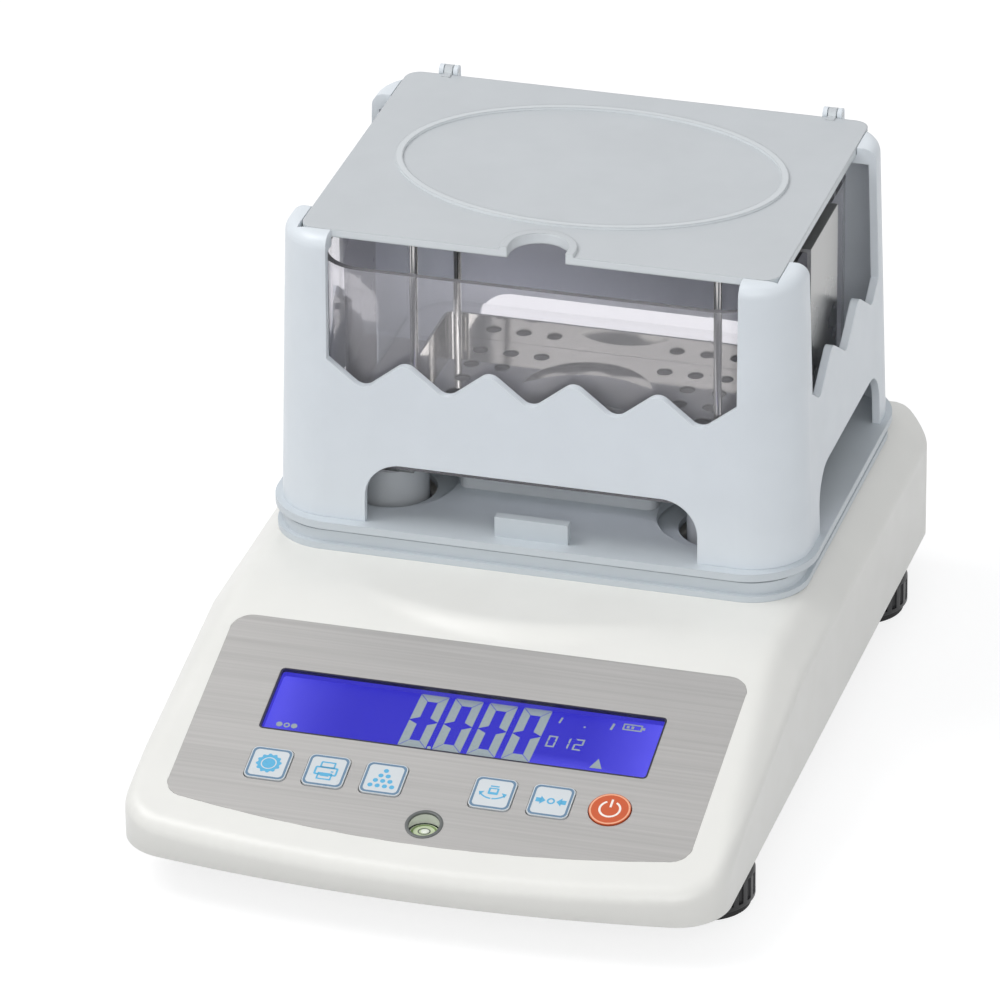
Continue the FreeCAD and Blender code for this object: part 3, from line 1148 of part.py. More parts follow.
upper_housing()
base_pan()
screw_set("housing_screws", [(x, y) for x, y, top in BOSSES], d.pan_bottom,
          d.screw_length - d.clearance, True)
feet()
panel_overlay()
display()
keys()
panel_screws()
board()
sockets()
level_vial()
chassis()
load_cell()
carrier()
deck()
shield_base()
tank()
weighing_frame()
basket()
wind_shield()
lid()

document.recompute()
for item in document.Objects:
    if {"Invalid", "Error"} & set(item.State):
        raise RuntimeError(f"{item.Label} has the state {item.State}")
for item in NODES:
    if item.Shape.isNull() or not item.Shape.isValid():
        raise RuntimeError(f"{item.Label} has no valid shape")
os.makedirs("parts", exist_ok=True)
for item in NODES:
    item.Shape.exportStep(f"parts/{item.Label}.step")
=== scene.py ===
"""Benchtop density meter: its looks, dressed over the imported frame.

Metres, +X to the right, +Y to the back, +Z up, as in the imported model.
"""
import math
import bmesh
import bpy
from mathutils import Matrix, Vector
from mathutils.geometry import delaunay_2d_cdt
from mathutils.kdtree import KDTree


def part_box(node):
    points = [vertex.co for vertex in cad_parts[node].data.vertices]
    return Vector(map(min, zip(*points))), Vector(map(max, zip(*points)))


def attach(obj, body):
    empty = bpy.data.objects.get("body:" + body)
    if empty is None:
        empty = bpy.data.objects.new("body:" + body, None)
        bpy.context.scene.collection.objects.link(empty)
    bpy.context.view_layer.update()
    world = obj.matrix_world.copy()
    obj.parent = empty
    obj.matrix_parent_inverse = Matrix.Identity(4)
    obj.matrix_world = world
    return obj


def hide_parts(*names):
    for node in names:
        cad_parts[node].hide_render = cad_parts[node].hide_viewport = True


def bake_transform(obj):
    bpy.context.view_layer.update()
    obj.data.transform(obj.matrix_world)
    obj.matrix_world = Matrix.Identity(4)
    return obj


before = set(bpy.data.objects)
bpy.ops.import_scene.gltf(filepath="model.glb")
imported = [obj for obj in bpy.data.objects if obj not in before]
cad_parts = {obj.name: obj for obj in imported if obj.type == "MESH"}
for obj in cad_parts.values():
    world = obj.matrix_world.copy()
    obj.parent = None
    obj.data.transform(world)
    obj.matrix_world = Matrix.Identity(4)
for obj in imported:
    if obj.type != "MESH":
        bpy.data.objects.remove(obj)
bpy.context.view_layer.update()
MM = 0.001
scene = bpy.context.scene


# Helpers for materials

def rgb(red, green, blue):
    """An sRGB colour, 0 to 255, as Blender's linear colour, by the sRGB standard's curve."""
    parts = []
    for part in (red, green, blue):
        part /= 255
        parts.append(part / 12.92 if part <= 0.04045 else ((part + 0.055) / 1.055) ** 2.4)
    return (*parts, 1.0)


class Nodes:
    """A material's node tree, written one node a line."""

    def __init__(self, name):
        """An empty tree with its output node."""
        self.material = bpy.data.materials.new(name)
        self.material.use_nodes = True
        self.tree = self.material.node_tree
        self.tree.nodes.clear()
        self.output = self.add("ShaderNodeOutputMaterial")

    def add(self, kind, values=None, **settings):
        """A node with its settings, and with its sockets set or linked."""
        item = self.tree.nodes.new(kind)
        for key, value in settings.items():
            setattr(item, key, value)
        for key, value in (values or {}).items():
            if hasattr(value, "links") or isinstance(value, bpy.types.NodeSocket):
                self.tree.links.new(value, item.inputs[key])
            else:
                item.inputs[key].default_value = value
        return item

    def place(self, stretch=(1, 1, 1), turn=(0, 0, 0)):
        """Object coordinates, stretched and turned."""
        source = self.add("ShaderNodeTexCoord")
        mapping = self.add("ShaderNodeMapping", {"Vector": source.outputs["Object"]})
        mapping.inputs["Scale"].default_value = stretch
        mapping.inputs["Rotation"].default_value = turn
        return mapping.outputs["Vector"]

    def noise(self, vector, scale, detail=3.0):
        """A noise texture's factor."""
        item = self.add("ShaderNodeTexNoise", {"Vector": vector, "Scale": scale, "Detail": detail})
        return item.outputs["Fac"]

    def span(self, source, low, high, start=0.3, stop=0.7):
        """A factor mapped to a range."""
        item = self.add("ShaderNodeMapRange", {"Value": source, "From Min": start, "From Max": stop,
                                               "To Min": low, "To Max": high})
        return item.outputs["Result"]

    def math(self, operation, first, second=0.0, clamp=False):
        """The outcome of one operation on one or two factors."""
        item = self.add("ShaderNodeMath", operation=operation, use_clamp=clamp)
        for index, value in enumerate((first, second)):
            if isinstance(value, bpy.types.NodeSocket):
                self.tree.links.new(value, item.inputs[index])
            else:
                item.inputs[index].default_value = value
        return item.outputs[0]

    def mix(self, factor, first, second):
        """A colour between two others."""
        item = self.add("ShaderNodeMix", data_type="RGBA")
        for key, value in ((0, factor), (6, first), (7, second)):
            if isinstance(value, bpy.types.NodeSocket):
                self.tree.links.new(value, item.inputs[key])
            else:
                item.inputs[key].default_value = value
        return item.outputs[2]

    def edges(self, radius):
        """The normal rounded over sharp edges, and a factor that is 1 on them, for a painted edge
        highlight.
        """
        rounded = self.add("ShaderNodeBevel", {"Radius": radius}, samples=4)
        flat = self.add("ShaderNodeNewGeometry")
        dot = self.add("ShaderNodeVectorMath", operation="DOT_PRODUCT")
        self.tree.links.new(rounded.outputs["Normal"], dot.inputs[0])
        self.tree.links.new(flat.outputs["Normal"], dot.inputs[1])
        edge_highlight = self.span(dot.outputs["Value"], 1.0, 0.0, 0.9, 0.995)
        return rounded.outputs["Normal"], edge_highlight

    def bump(self, height, strength, distance, normal=None):
        """The normal of a surface with a fine relief."""
        item = self.add("ShaderNodeBump", {"Height": height, "Strength": strength, "Distance": distance})
        if normal is not None:
            self.tree.links.new(normal, item.inputs["Normal"])
        return item.outputs["Normal"]

    def surface(self, shader):
        """The finished material with its shader."""
        self.tree.links.new(shader.outputs[0], self.output.inputs["Surface"])
        return self.material


def shade(colour, factor):
    """A colour made darker or lighter."""
    return tuple(min(1.0, part * factor) for part in colour[:3]) + (1.0,)


def moulded(name, colour, roughness, spread=0.03, grain=900.0, bump=0.08, edge=0.0004, highlight_lift=1.12,
            painted_highlight=None, **sockets):
    """Moulded plastic or paint: faint mottling, fine grain, uneven gloss, and a painted highlight on sharp
    edges.
    """
    n = Nodes(name)
    vector = n.place()
    tone = n.mix(n.span(n.noise(vector, 45.0), 0, 1), shade(colour, 1 - spread), shade(colour, 1 + spread))
    normal = None
    if edge:
        normal, edge_highlight = n.edges(edge)
        # Painted highlight: the colour is made lighter on sharp edges.
        tone = n.mix(n.math("MULTIPLY", edge_highlight, 0.6), tone, shade(colour, highlight_lift))
    if painted_highlight:
        tone = painted_highlight(n, tone)
    gloss = n.span(n.noise(vector, 130.0, 5.0), roughness - 0.04, roughness + 0.05)
    normal = n.bump(n.noise(vector, grain, 4.0), bump, 0.0002, normal)
    values = {"Base Color": tone, "Roughness": gloss, "Normal": normal}
    values.update(sockets)
    return n.surface(n.add("ShaderNodeBsdfPrincipled", values))


def brushed(name, colour, roughness, along=(3, 900, 900), turn=(0, 0, 0), spread=0.10, bump=0.12,
            metallic=1.0, **sockets):
    """Brushed metal or foil: long fine streaks in the colour, the gloss and the bump."""
    n = Nodes(name)
    streak = n.noise(n.place(along, turn), 1.0, 6.0)
    cloud = n.noise(n.place(), 25.0)
    tone = n.mix(n.span(streak, 0, 1, 0.35, 0.65), shade(colour, 1 - spread), shade(colour, 1 + spread))
    tone = n.mix(n.span(cloud, 0.0, 0.25), tone, shade(colour, 0.94))
    normal, _ = n.edges(0.0003)
    gloss = n.span(streak, roughness - 0.05, roughness + 0.08)
    values = {"Base Color": tone, "Metallic": metallic, "Roughness": gloss,
              "Normal": n.bump(streak, bump, 0.0001, normal)}
    values.update(sockets)
    return n.surface(n.add("ShaderNodeBsdfPrincipled", values))


def polished(name, colour, roughness, scratch=0.05, edge=0.0003):
    """Mirror-polished or machined metal with faint hairlines and smears."""
    n = Nodes(name)
    hair = n.noise(n.place((12, 260, 260)), 1.0, 2.0)
    smear = n.noise(n.place(), 30.0)
    tone = n.mix(n.span(smear, 0, 1), shade(colour, 0.93), colour)
    normal, _ = n.edges(edge)
    values = {"Base Color": tone, "Metallic": 1.0, "Roughness": n.span(smear, roughness, roughness + 0.06),
              "Normal": n.bump(hair, scratch, 0.0001, normal)}
    return n.surface(n.add("ShaderNodeBsdfPrincipled", values))


def clear(name, colour, roughness, ior, ripple=0.02, haze=0.03, **sockets):
    """Clear moulded plastic with a slight ripple and wipe marks, which lets the lamps' light through."""
    n = Nodes(name)
    vector = n.place()
    wipe = n.noise(n.place((60, 60, 300)), 1.0, 5.0)
    tone = n.mix(n.span(n.noise(vector, 18.0), 0, 1), shade(colour, 0.985), colour)
    values = {"Base Color": tone, "Roughness": n.span(wipe, roughness, roughness + haze, 0.45, 0.8),
              "Transmission Weight": 1.0, "IOR": ior,
              "Normal": n.bump(n.noise(vector, 35.0), ripple, 0.0005)}
    values.update(sockets)
    body = n.add("ShaderNodeBsdfPrincipled", values)
    through = n.add("ShaderNodeBsdfTransparent", {"Color": shade(colour, 0.98)})
    path = n.add("ShaderNodeLightPath")
    both = n.add("ShaderNodeMixShader", {"Fac": path.outputs["Is Shadow Ray"]})
    n.tree.links.new(body.outputs[0], both.inputs[1])
    n.tree.links.new(through.outputs[0], both.inputs[2])
    return n.surface(both)


def window_sheet(name, colour, alpha):
    """A thin clear window that nearly all light passes straight through."""
    n = Nodes(name)
    vector = n.place()
    tone = n.mix(n.span(n.noise(vector, 60.0), 0, 1), shade(colour, 0.95), colour)
    values = {"Base Color": tone, "Roughness": n.span(n.noise(vector, 150.0), 0.05, 0.11), "Alpha": alpha,
              "Normal": n.bump(n.noise(vector, 35.0), 0.01, 0.0002)}
    return n.surface(n.add("ShaderNodeBsdfPrincipled", values))


# The materials

BEAD_CENTRE_Y = 83.0 * MM
BEAD_HALVES = (72.7 * MM, 50.2 * MM)
# The colour of the painted highlight on the lid's bead and rims.
RIM_HIGHLIGHT = rgb(226, 231, 233)


def bead_and_rim_highlight(n, tone):
    """A painted highlight on the lid's raised oval bead and its rims, paler than the sheet between them.
    """
    source = n.add("ShaderNodeTexCoord")
    axes = n.add("ShaderNodeSeparateXYZ", {"Vector": source.outputs["Object"]})
    across = n.math("DIVIDE", axes.outputs["X"], BEAD_HALVES[0])
    along = n.math("DIVIDE", n.math("SUBTRACT", axes.outputs["Y"], BEAD_CENTRE_Y), BEAD_HALVES[1])
    squares = n.math("ADD", n.math("MULTIPLY", across, across), n.math("MULTIPLY", along, along))
    reach = n.math("SQRT", squares)
    bead_highlight = n.span(n.math("ABSOLUTE", n.math("SUBTRACT", reach, 1.0)), 0.45, 0.0, 0.013, 0.022)
    facing = n.add("ShaderNodeSeparateXYZ", {"Vector": source.outputs["Normal"]})
    # Painted highlight on the rims: paler where the surface faces sideways.
    rim = n.span(n.math("ABSOLUTE", facing.outputs["Z"]), 0.9, 0.0, 0.2, 0.75)
    return n.mix(n.math("MAXIMUM", bead_highlight, rim), tone, RIM_HIGHLIGHT)


WHITE = rgb(237, 236, 231)
GREY = rgb(205, 212, 217)
# Painted light and shade: the wind shield and the lid share the shield's grey plastic; the wind shield's
# grey is painted lighter, the lid's darker.
WIND_GREY_PAINTED_LIGHTER = rgb(226, 232, 237)
LID_GREY_PAINTED_DARKER = rgb(197, 201, 204)
SILVER = rgb(177, 175, 173)
ORANGE = rgb(206, 89, 43)
KEY_BLUE = rgb(92, 178, 218)
LINE_BLUE = rgb(104, 134, 160)

look = {
    "housing_white": moulded("housing_white", WHITE, 0.33, spread=0.012, grain=380, bump=0.015, edge=0),
    "pan_grey": moulded("pan_grey", rgb(214, 214, 210), 0.5),
    "shield_grey": moulded("shield_grey", GREY, 0.38, spread=0.018, grain=380, bump=0.02, edge=0.0005),
    "lid_grey_painted_darker": moulded("lid_grey_painted_darker", LID_GREY_PAINTED_DARKER, 0.38, spread=0.018, grain=380, bump=0.02, edge=0.001,
                        highlight_lift=1.3, painted_highlight=bead_and_rim_highlight),
    "wind_grey_painted_lighter": moulded("wind_grey_painted_lighter", WIND_GREY_PAINTED_LIGHTER, 0.36, spread=0.018, grain=380, bump=0.02, edge=0.0006,
                         highlight_lift=1.16),
    "stand_grey": moulded("stand_grey", rgb(206, 210, 213), 0.42, spread=0.02),
    "key_silver": moulded("key_silver", rgb(214, 219, 222), 0.3, spread=0.02, grain=1500, bump=0.05),
    "key_orange": moulded("key_orange", ORANGE, 0.34, grain=1500, bump=0.06, highlight_lift=1.25),
    "board_green": moulded("board_green", rgb(28, 112, 62), 0.38, spread=0.12, grain=500, bump=0.2,
                           edge=0.0002),
    "component_black": moulded("component_black", rgb(34, 34, 37), 0.45, spread=0.12, bump=0.15,
                               edge=0.0003, highlight_lift=1.6),
    "foot_black": moulded("foot_black", rgb(26, 26, 29), 0.36, spread=0.12, bump=0.12, edge=0.0005,
                          highlight_lift=1.8),
    "foot_rubber": moulded("foot_rubber", rgb(18, 18, 19), 0.72, spread=0.15, grain=700, bump=0.35,
                           edge=0.0005, highlight_lift=1.9),
    "light_guide": moulded("light_guide", rgb(226, 228, 234), 0.35, spread=0.02, grain=800, bump=0.06),
    "vial_green": moulded("vial_green", rgb(206, 218, 182), 0.12, grain=300, bump=0.02, highlight_lift=1.1),
    "polished_stainless": polished("polished_stainless", rgb(211, 210, 207), 0.06, scratch=0.012),
    "frame_steel": polished("frame_steel", rgb(166, 166, 165), 0.26, scratch=0.03),
    "screw_steel": polished("screw_steel", rgb(172, 173, 174), 0.24, scratch=0.15),
    "foot_steel": polished("foot_steel", rgb(178, 179, 180), 0.22, scratch=0.15),
    "cell_aluminium": polished("cell_aluminium", rgb(200, 201, 203), 0.3, scratch=0.22),
    "insert_brass": polished("insert_brass", rgb(206, 170, 96), 0.27, scratch=0.12),
    "tank_clear": clear("tank_clear", rgb(251, 250, 253), 0.01, 1.4, **{"Transmission Weight": 0.93}),
    "clear_lens": window_sheet("clear_lens", rgb(196, 196, 236), alpha=0.012),
    "panel_silver": brushed("panel_silver", SILVER, 0.4, along=(5, 900, 900), spread=0.07, bump=0.06,
                            metallic=0.45),
}

END_GLOW_X = (40.0 * MM, 76.5 * MM)
LOW_GLOW_X = (-5.0 * MM, 30.0 * MM)
LOW_GLOW_Y = (-97.0 * MM, -106.5 * MM)
DEEP_BLUE, LIT_BLUE, DIM_BLUE = rgb(46, 42, 192), rgb(100, 96, 252), rgb(38, 32, 180)


def display_blue():
    """A lit display: deep blue, brighter at both ends and along the lower right, where the lamps are."""
    n = Nodes("display_blue")
    source = n.add("ShaderNodeTexCoord")
    axes = n.add("ShaderNodeSeparateXYZ", {"Vector": source.outputs["Object"]})
    side = n.math("ABSOLUTE", axes.outputs["X"])
    glow = n.math("POWER", n.span(side, 0.0, 1.0, *END_GLOW_X), 1.7)
    patch = n.noise(n.place((9, 14, 14)), 1.0, 2.0)
    glow = n.math("MULTIPLY", glow, n.span(patch, 0.75, 1.1), True)
    low = n.math("MULTIPLY", n.span(axes.outputs["Y"], 0.0, 1.0, *LOW_GLOW_Y),
                 n.span(axes.outputs["X"], 0.0, 0.9, *LOW_GLOW_X))
    glow = n.math("MAXIMUM", glow, low)
    tone = n.mix(glow, DEEP_BLUE, LIT_BLUE)
    tone = n.mix(n.span(n.noise(n.place(), 60.0), 0.0, 0.15), tone, DIM_BLUE)
    values = {"Base Color": rgb(10, 9, 34), "Roughness": 0.5, "Specular IOR Level": 0.1,
              "Emission Color": tone, "Emission Strength": 1.0}
    return n.surface(n.add("ShaderNodeBsdfPrincipled", values))


def printed(name, colour, roughness=0.45, glow=0.0, spread=0.04):
    """Ink or a lit mark: an even colour with faint mottling, and a glow where it is lit."""
    n = Nodes(name)
    speck = n.span(n.noise(n.place(), 1400.0, 4.0), 0, 1)
    tone = n.mix(speck, shade(colour, 1 - spread), shade(colour, 1 + spread))
    gloss = n.span(n.noise(n.place(), 500.0), roughness, roughness + 0.08)
    values = {"Base Color": tone, "Roughness": gloss}
    if glow:
        values.update({"Emission Color": tone, "Emission Strength": glow})
    return n.surface(n.add("ShaderNodeBsdfPrincipled", values))


look["display_blue"] = display_blue()
SEGMENT = printed("lit_segment", rgb(138, 150, 152), 0.5, glow=0.22, spread=0.06)
ICON = printed("key_icon", KEY_BLUE)
OUTLINE = printed("key_outline", LINE_BLUE)
WHITE_INK = printed("white_ink", rgb(250, 240, 232))
RIM_INK = printed("rim_ink", rgb(244, 176, 140))
BORDER = printed("display_border", rgb(30, 28, 52), 0.3)
LIT_WALL = printed("display_wall", rgb(48, 44, 158), 0.4, glow=0.8)
RING = moulded("ring_grey", rgb(96, 99, 98), 0.3, spread=0.05, edge=0.0003, highlight_lift=1.3)
SLEEVE = moulded("sleeve_pale", rgb(214, 217, 208), 0.35, grain=600, bump=0.04, edge=0.0003, highlight_lift=1.1)
LIQUID = moulded("liquid_green", rgb(132, 158, 96), 0.1, spread=0.06, grain=300, bump=0.02, edge=0.0003,
                 highlight_lift=1.1)
BUBBLE = moulded("bubble", rgb(244, 248, 236), 0.06, spread=0.01, grain=300, bump=0.01)

# The lid and the wind shield get the painted darker and painted lighter copies of the shield's grey.
OWN_LOOK = {("lid", "shield_grey"): "lid_grey_painted_darker", ("wind_shield", "shield_grey"): "wind_grey_painted_lighter",
            ("weighing_frame", "polished_stainless"): "frame_steel"}
for name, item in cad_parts.items():
    for part in item.material_slots:
        kind = part.material.name.split(".")[0] if part.material else ""
        kind = OWN_LOOK.get((name, kind), kind)
        if kind in look:
            part.material = look[kind]


# Helpers for shapes

def piece(name, data, material, smooth=None):
    """An object from its mesh, smooth up to an angle in degrees where one is given."""
    item = bpy.data.objects.new(name, data)
    scene.collection.objects.link(item)
    data.materials.append(material)
    if smooth is not None:
        data.shade_smooth()
        data.set_sharp_from_angle(angle=math.radians(smooth))
    return item


def mesh_object(name, points, faces, material, smooth=None):
    """A piece from its points and faces."""
    data = bpy.data.meshes.new(name)
    data.from_pydata([tuple(p) for p in points], [], faces)
    data.validate()
    return piece(name, data, material, smooth)


def from_bmesh(name, mesh, material, smooth=None):
    """A piece from an editable mesh, with its faces turned outwards."""
    bmesh.ops.recalc_face_normals(mesh, faces=mesh.faces)
    data = bpy.data.meshes.new(name)
    mesh.to_mesh(data)
    mesh.free()
    return piece(name, data, material, smooth)


SLOPE = math.radians(16.9)
DATUM_Y, DATUM_Z = -77.3, 54.8
DATUM = Vector((0, DATUM_Y, DATUM_Z)) * MM
WINDOW_ALONG, WINDOW_HALF_X, WINDOW_HALF_Y = -15.5, 73.0, 16.0
KEY_ALONG, KEY_OPENING_HALF, POWER_OPENING_RADIUS = -48.0, 8.0, 7.9
LEVEL_ALONG, LEVEL_OPENING_RADIUS = -66.8, 6.4
KEY_X = {"set_key": -63.3, "print_key": -41.8, "enter_key": -20.3, "mode_key": 20.3, "zero_key": 41.8}
POWER_X = 63.5
PANEL = Matrix.Translation(DATUM) @ Matrix.Rotation(SLOPE, 4, "X")


def on_panel(x, along, depth=0.0):
    """A point on the control panel, from millimetres across, up its slope and out of its face."""
    return PANEL @ (Vector((x, along, depth)) * MM)


def plates(name, loops, low, high, material, bevel=0.0, place=on_panel):
    """Thin plates on the panel, from closed outlines in millimetres; an outline may carry holes."""
    mesh = bmesh.new()
    for shape in loops:
        rings = shape if isinstance(shape[0], list) else [shape]
        flat = [Vector(p) for ring in rings for p in ring]
        edges = []
        start = 0
        for ring in rings:
            edges += [(start + i, start + (i + 1) % len(ring)) for i in range(len(ring))]
            start += len(ring)
        points, _, faces, _, _, _ = delaunay_2d_cdt(flat, edges, [], 0, 1e-6)
        inside = []
        for face in faces:
            middle = sum((Vector(points[i]) for i in face), Vector((0, 0))) / len(face)
            if sum(within(middle, ring) for ring in rings) % 2:
                inside.append(face)
        for level, flip in ((low, True), (high, False)):
            made = [mesh.verts.new(place(p[0], p[1], level)) for p in points]
            for face in inside:
                order = [made[i] for i in face]
                mesh.faces.new(reversed(order) if flip else order)
            if flip:
                below = made
        sides = {}
        for face in inside:
            for i in range(len(face)):
                a, b = face[i], face[(i + 1) % len(face)]
                key = (min(a, b), max(a, b))
                sides[key] = None if key in sides else (a, b)
        for pair in sides.values():
            if pair:
                a, b = pair
                mesh.faces.new([below[a], below[b], made[b], made[a]])
    return from_bmesh(name, mesh, material)


def within(point, ring):
    """Whether a flat point lies inside a closed ring."""
    x, y = point
    hit = False
    for i, (x1, y1) in enumerate(ring):
        x2, y2 = ring[i - 1]
        if (y1 > y) != (y2 > y) and x < (x2 - x1) * (y - y1) / (y2 - y1) + x1:
            hit = not hit
    return hit


def disc(x, y, radius, count=40, start=0.0, stop=360.0):
    """Points round a circle or an arc."""
    whole = stop - start >= 360
    steps = count if whole else count + 1
    angles = [math.radians(start + (stop - start) * i / count) for i in range(steps)]
    return [(x + radius * math.cos(a), y + radius * math.sin(a)) for a in angles]


def bar(x1, y1, x2, y2, width):
    """A straight stroke between two points."""
    run = Vector((x2 - x1, y2 - y1))
    side = Vector((-run.y, run.x)).normalized() * width / 2
    return [(x1 + side.x, y1 + side.y), (x1 - side.x, y1 - side.y),
            (x2 - side.x, y2 - side.y), (x2 + side.x, y2 + side.y)]


def rounded(x, y, half_x, half_y, radius, count=8):
    """A rectangle with round corners."""
    points = []
    for sx, sy, turn in ((1, 1, 0), (-1, 1, 90), (-1, -1, 180), (1, -1, 270)):
        middle = (x + sx * (half_x - radius), y + sy * (half_y - radius))
        points += disc(*middle, radius, count, turn, turn + 90)
    return points


def arc_band(x, y, radius, width, start, stop, count=36):
    """A stroke along an arc."""
    return (disc(x, y, radius + width / 2, count, start, stop)
            + disc(x, y, radius - width / 2, count, start, stop)[::-1])


# The housing

HALF_WIDTH, FRONT, REAR = 112.0, -165.0, 165.0
BOW = 10.0
FRONT_ROUND, REAR_ROUND = 20.0, 12.0
BOTTOM, PLATEAU = 17.0, 67.0
KNEE = DATUM_Y + (PLATEAU - DATUM_Z) / math.tan(SLOPE)
SKIN = 2.5
TONGUE_CENTRE_Y, TONGUE_RADIUS, TONGUE_EDGE, TONGUE_RAMP = 55.0, 104.0, 3.0, 9.0
SHOULDER_FRONT, SHOULDER_REAR = 1.5, 11.5
KNEE_BLEND, SHOULDER_BLEND = 3.0, 3.5
LIP_REAR, LIP_FRONT = 1.6, 5.0
LIP_START_Y, LIP_RUN = -118.0, 25.0
RECESS_DEPTH, RECESS_CLEAR = 0.62, 5.0
POST_PLACES = [(x, y) for x in (-64, 64) for y in (34, 112)]
POST_HOLE_RADIUS = 17.0
PORT_X, JACK_X, REAR_HOLES_Z = -60.0, 70.0, 36.0


def smooth_low(a, b, blend):
    """The lower of two heights, blended where they cross."""
    h = max(0.0, min(1.0, 0.5 + 0.5 * (b - a) / blend))
    return b * (1 - h) + a * h - blend * h * (1 - h)


def housing_height(x, y):
    """The housing's upper surface: plateau, control slope, the tongue between them and the shoulders."""
    slope = DATUM_Z + (y - DATUM_Y) * math.tan(SLOPE)
    reach = math.hypot(x, y - TONGUE_CENTRE_Y)
    rise = max(0.0, min(1.0, (TONGUE_RADIUS + TONGUE_EDGE - reach) / TONGUE_RAMP))
    rise = rise * rise * (3 - 2 * rise)
    flat = smooth_low(slope, PLATEAU, KNEE_BLEND)
    top = flat + (PLATEAU - flat) * rise
    start = FRONT + FRONT_ROUND
    part = (y - start) / (KNEE - start)
    size = SHOULDER_FRONT + (SHOULDER_REAR - SHOULDER_FRONT) * max(-0.2, min(1.0, part))
    edge = HALF_WIDTH - size + min(slope, PLATEAU) - abs(x)
    return smooth_low(top, edge, SHOULDER_BLEND)


def housing_outline():
    """The plan of the housing as closely spaced points with their inward directions."""
    bow_steps, front_steps, side_steps, corner_steps, rear_steps = 90, 16, 110, 12, 80
    bow_radius = (HALF_WIDTH ** 2 + BOW ** 2) / (2 * BOW)
    centre = Vector((0, FRONT + bow_radius))
    swing = bow_radius - FRONT_ROUND
    across = HALF_WIDTH - FRONT_ROUND
    corner = Vector((across, centre.y - math.sqrt(swing ** 2 - across ** 2)))
    lean = math.degrees(math.atan2(corner.y - centre.y, corner.x))
    rear_x, rear_y = HALF_WIDTH - REAR_ROUND, REAR - REAR_ROUND
    points = []

    def arc(middle, radius, start, stop, steps, picks):
        """Some of the evenly spaced points of an arc."""
        for i in picks:
            angle = math.radians(start + (stop - start) * i / steps)
            out = Vector((math.cos(angle), math.sin(angle)))
            points.append((middle + out * radius, -out))

    def straight(start, stop, steps, inward):
        """The points between the ends of a straight side."""
        for i in range(1, steps):
            place = [a + (b - a) * i / steps for a, b in zip(start, stop)]
            points.append((Vector(place), Vector(inward)))

    arc(centre, bow_radius, -180 - lean, lean, bow_steps, range(bow_steps + 1))
    arc(corner, FRONT_ROUND, lean, 0, front_steps, range(1, front_steps + 1))
    straight((HALF_WIDTH, corner.y), (HALF_WIDTH, rear_y), side_steps, (-1, 0))
    arc(Vector((rear_x, rear_y)), REAR_ROUND, 0, 90, corner_steps, range(corner_steps + 1))
    straight((rear_x, REAR), (-rear_x, REAR), rear_steps, (0, -1))
    arc(Vector((-rear_x, rear_y)), REAR_ROUND, 90, 180, corner_steps, range(corner_steps + 1))
    straight((-HALF_WIDTH, rear_y), (-HALF_WIDTH, corner.y), side_steps, (1, 0))
    arc(Vector((-corner.x, corner.y)), FRONT_ROUND, 180, 180 - lean, front_steps, range(front_steps))
    return points


def in_plan(ring):
    """A closed outline on the panel as the housing's plan sees it, in millimetres."""
    places = [on_panel(x, along) for x, along in ring]
    return [(p.x / MM, p.y / MM) for p in places]


def window_ring(inset, corner):
    """The display window's outline, or one further in."""
    return rounded(0, WINDOW_ALONG, WINDOW_HALF_X - inset, WINDOW_HALF_Y - inset, corner)


def panel_holes():
    """The openings in the panel, as rings in the housing's plan."""
    half = KEY_OPENING_HALF
    rings = [window_ring(0.0, 2.0)]
    rings += [rounded(x, KEY_ALONG, half, half, 2.5) for x in KEY_X.values()]
    rings.append(disc(POWER_X, KEY_ALONG, POWER_OPENING_RADIUS))
    rings.append(disc(0, LEVEL_ALONG, LEVEL_OPENING_RADIUS))
    return [in_plan(ring) for ring in rings]


def overlay_ring(inset=0.0, count=24):
    """The panel sheet's outline on the slope, with its bowed lower edge."""
    half, low, high, corner, drop = 97.3 - inset, -69.0 + inset, 24.4 - inset, 8.0, 8.0
    bow = ((half - corner) ** 2 + drop ** 2) / (2 * drop)
    lean = math.degrees(math.asin((half - corner) / bow))
    centre = low + math.sqrt(bow ** 2 - (half - corner) ** 2)
    points = disc(0, centre, bow, count * 2, 270 - lean, 270 + lean)
    points += disc(half - corner, low + corner, corner, count // 2, 270, 360)[1:]
    points += disc(half - corner, high - corner, corner, count // 2, 0, 90)
    points += disc(corner - half, high - corner, corner, count // 2, 90, 180)
    points += disc(corner - half, low + corner, corner, count // 2, 180, 270)[:-1]
    return points


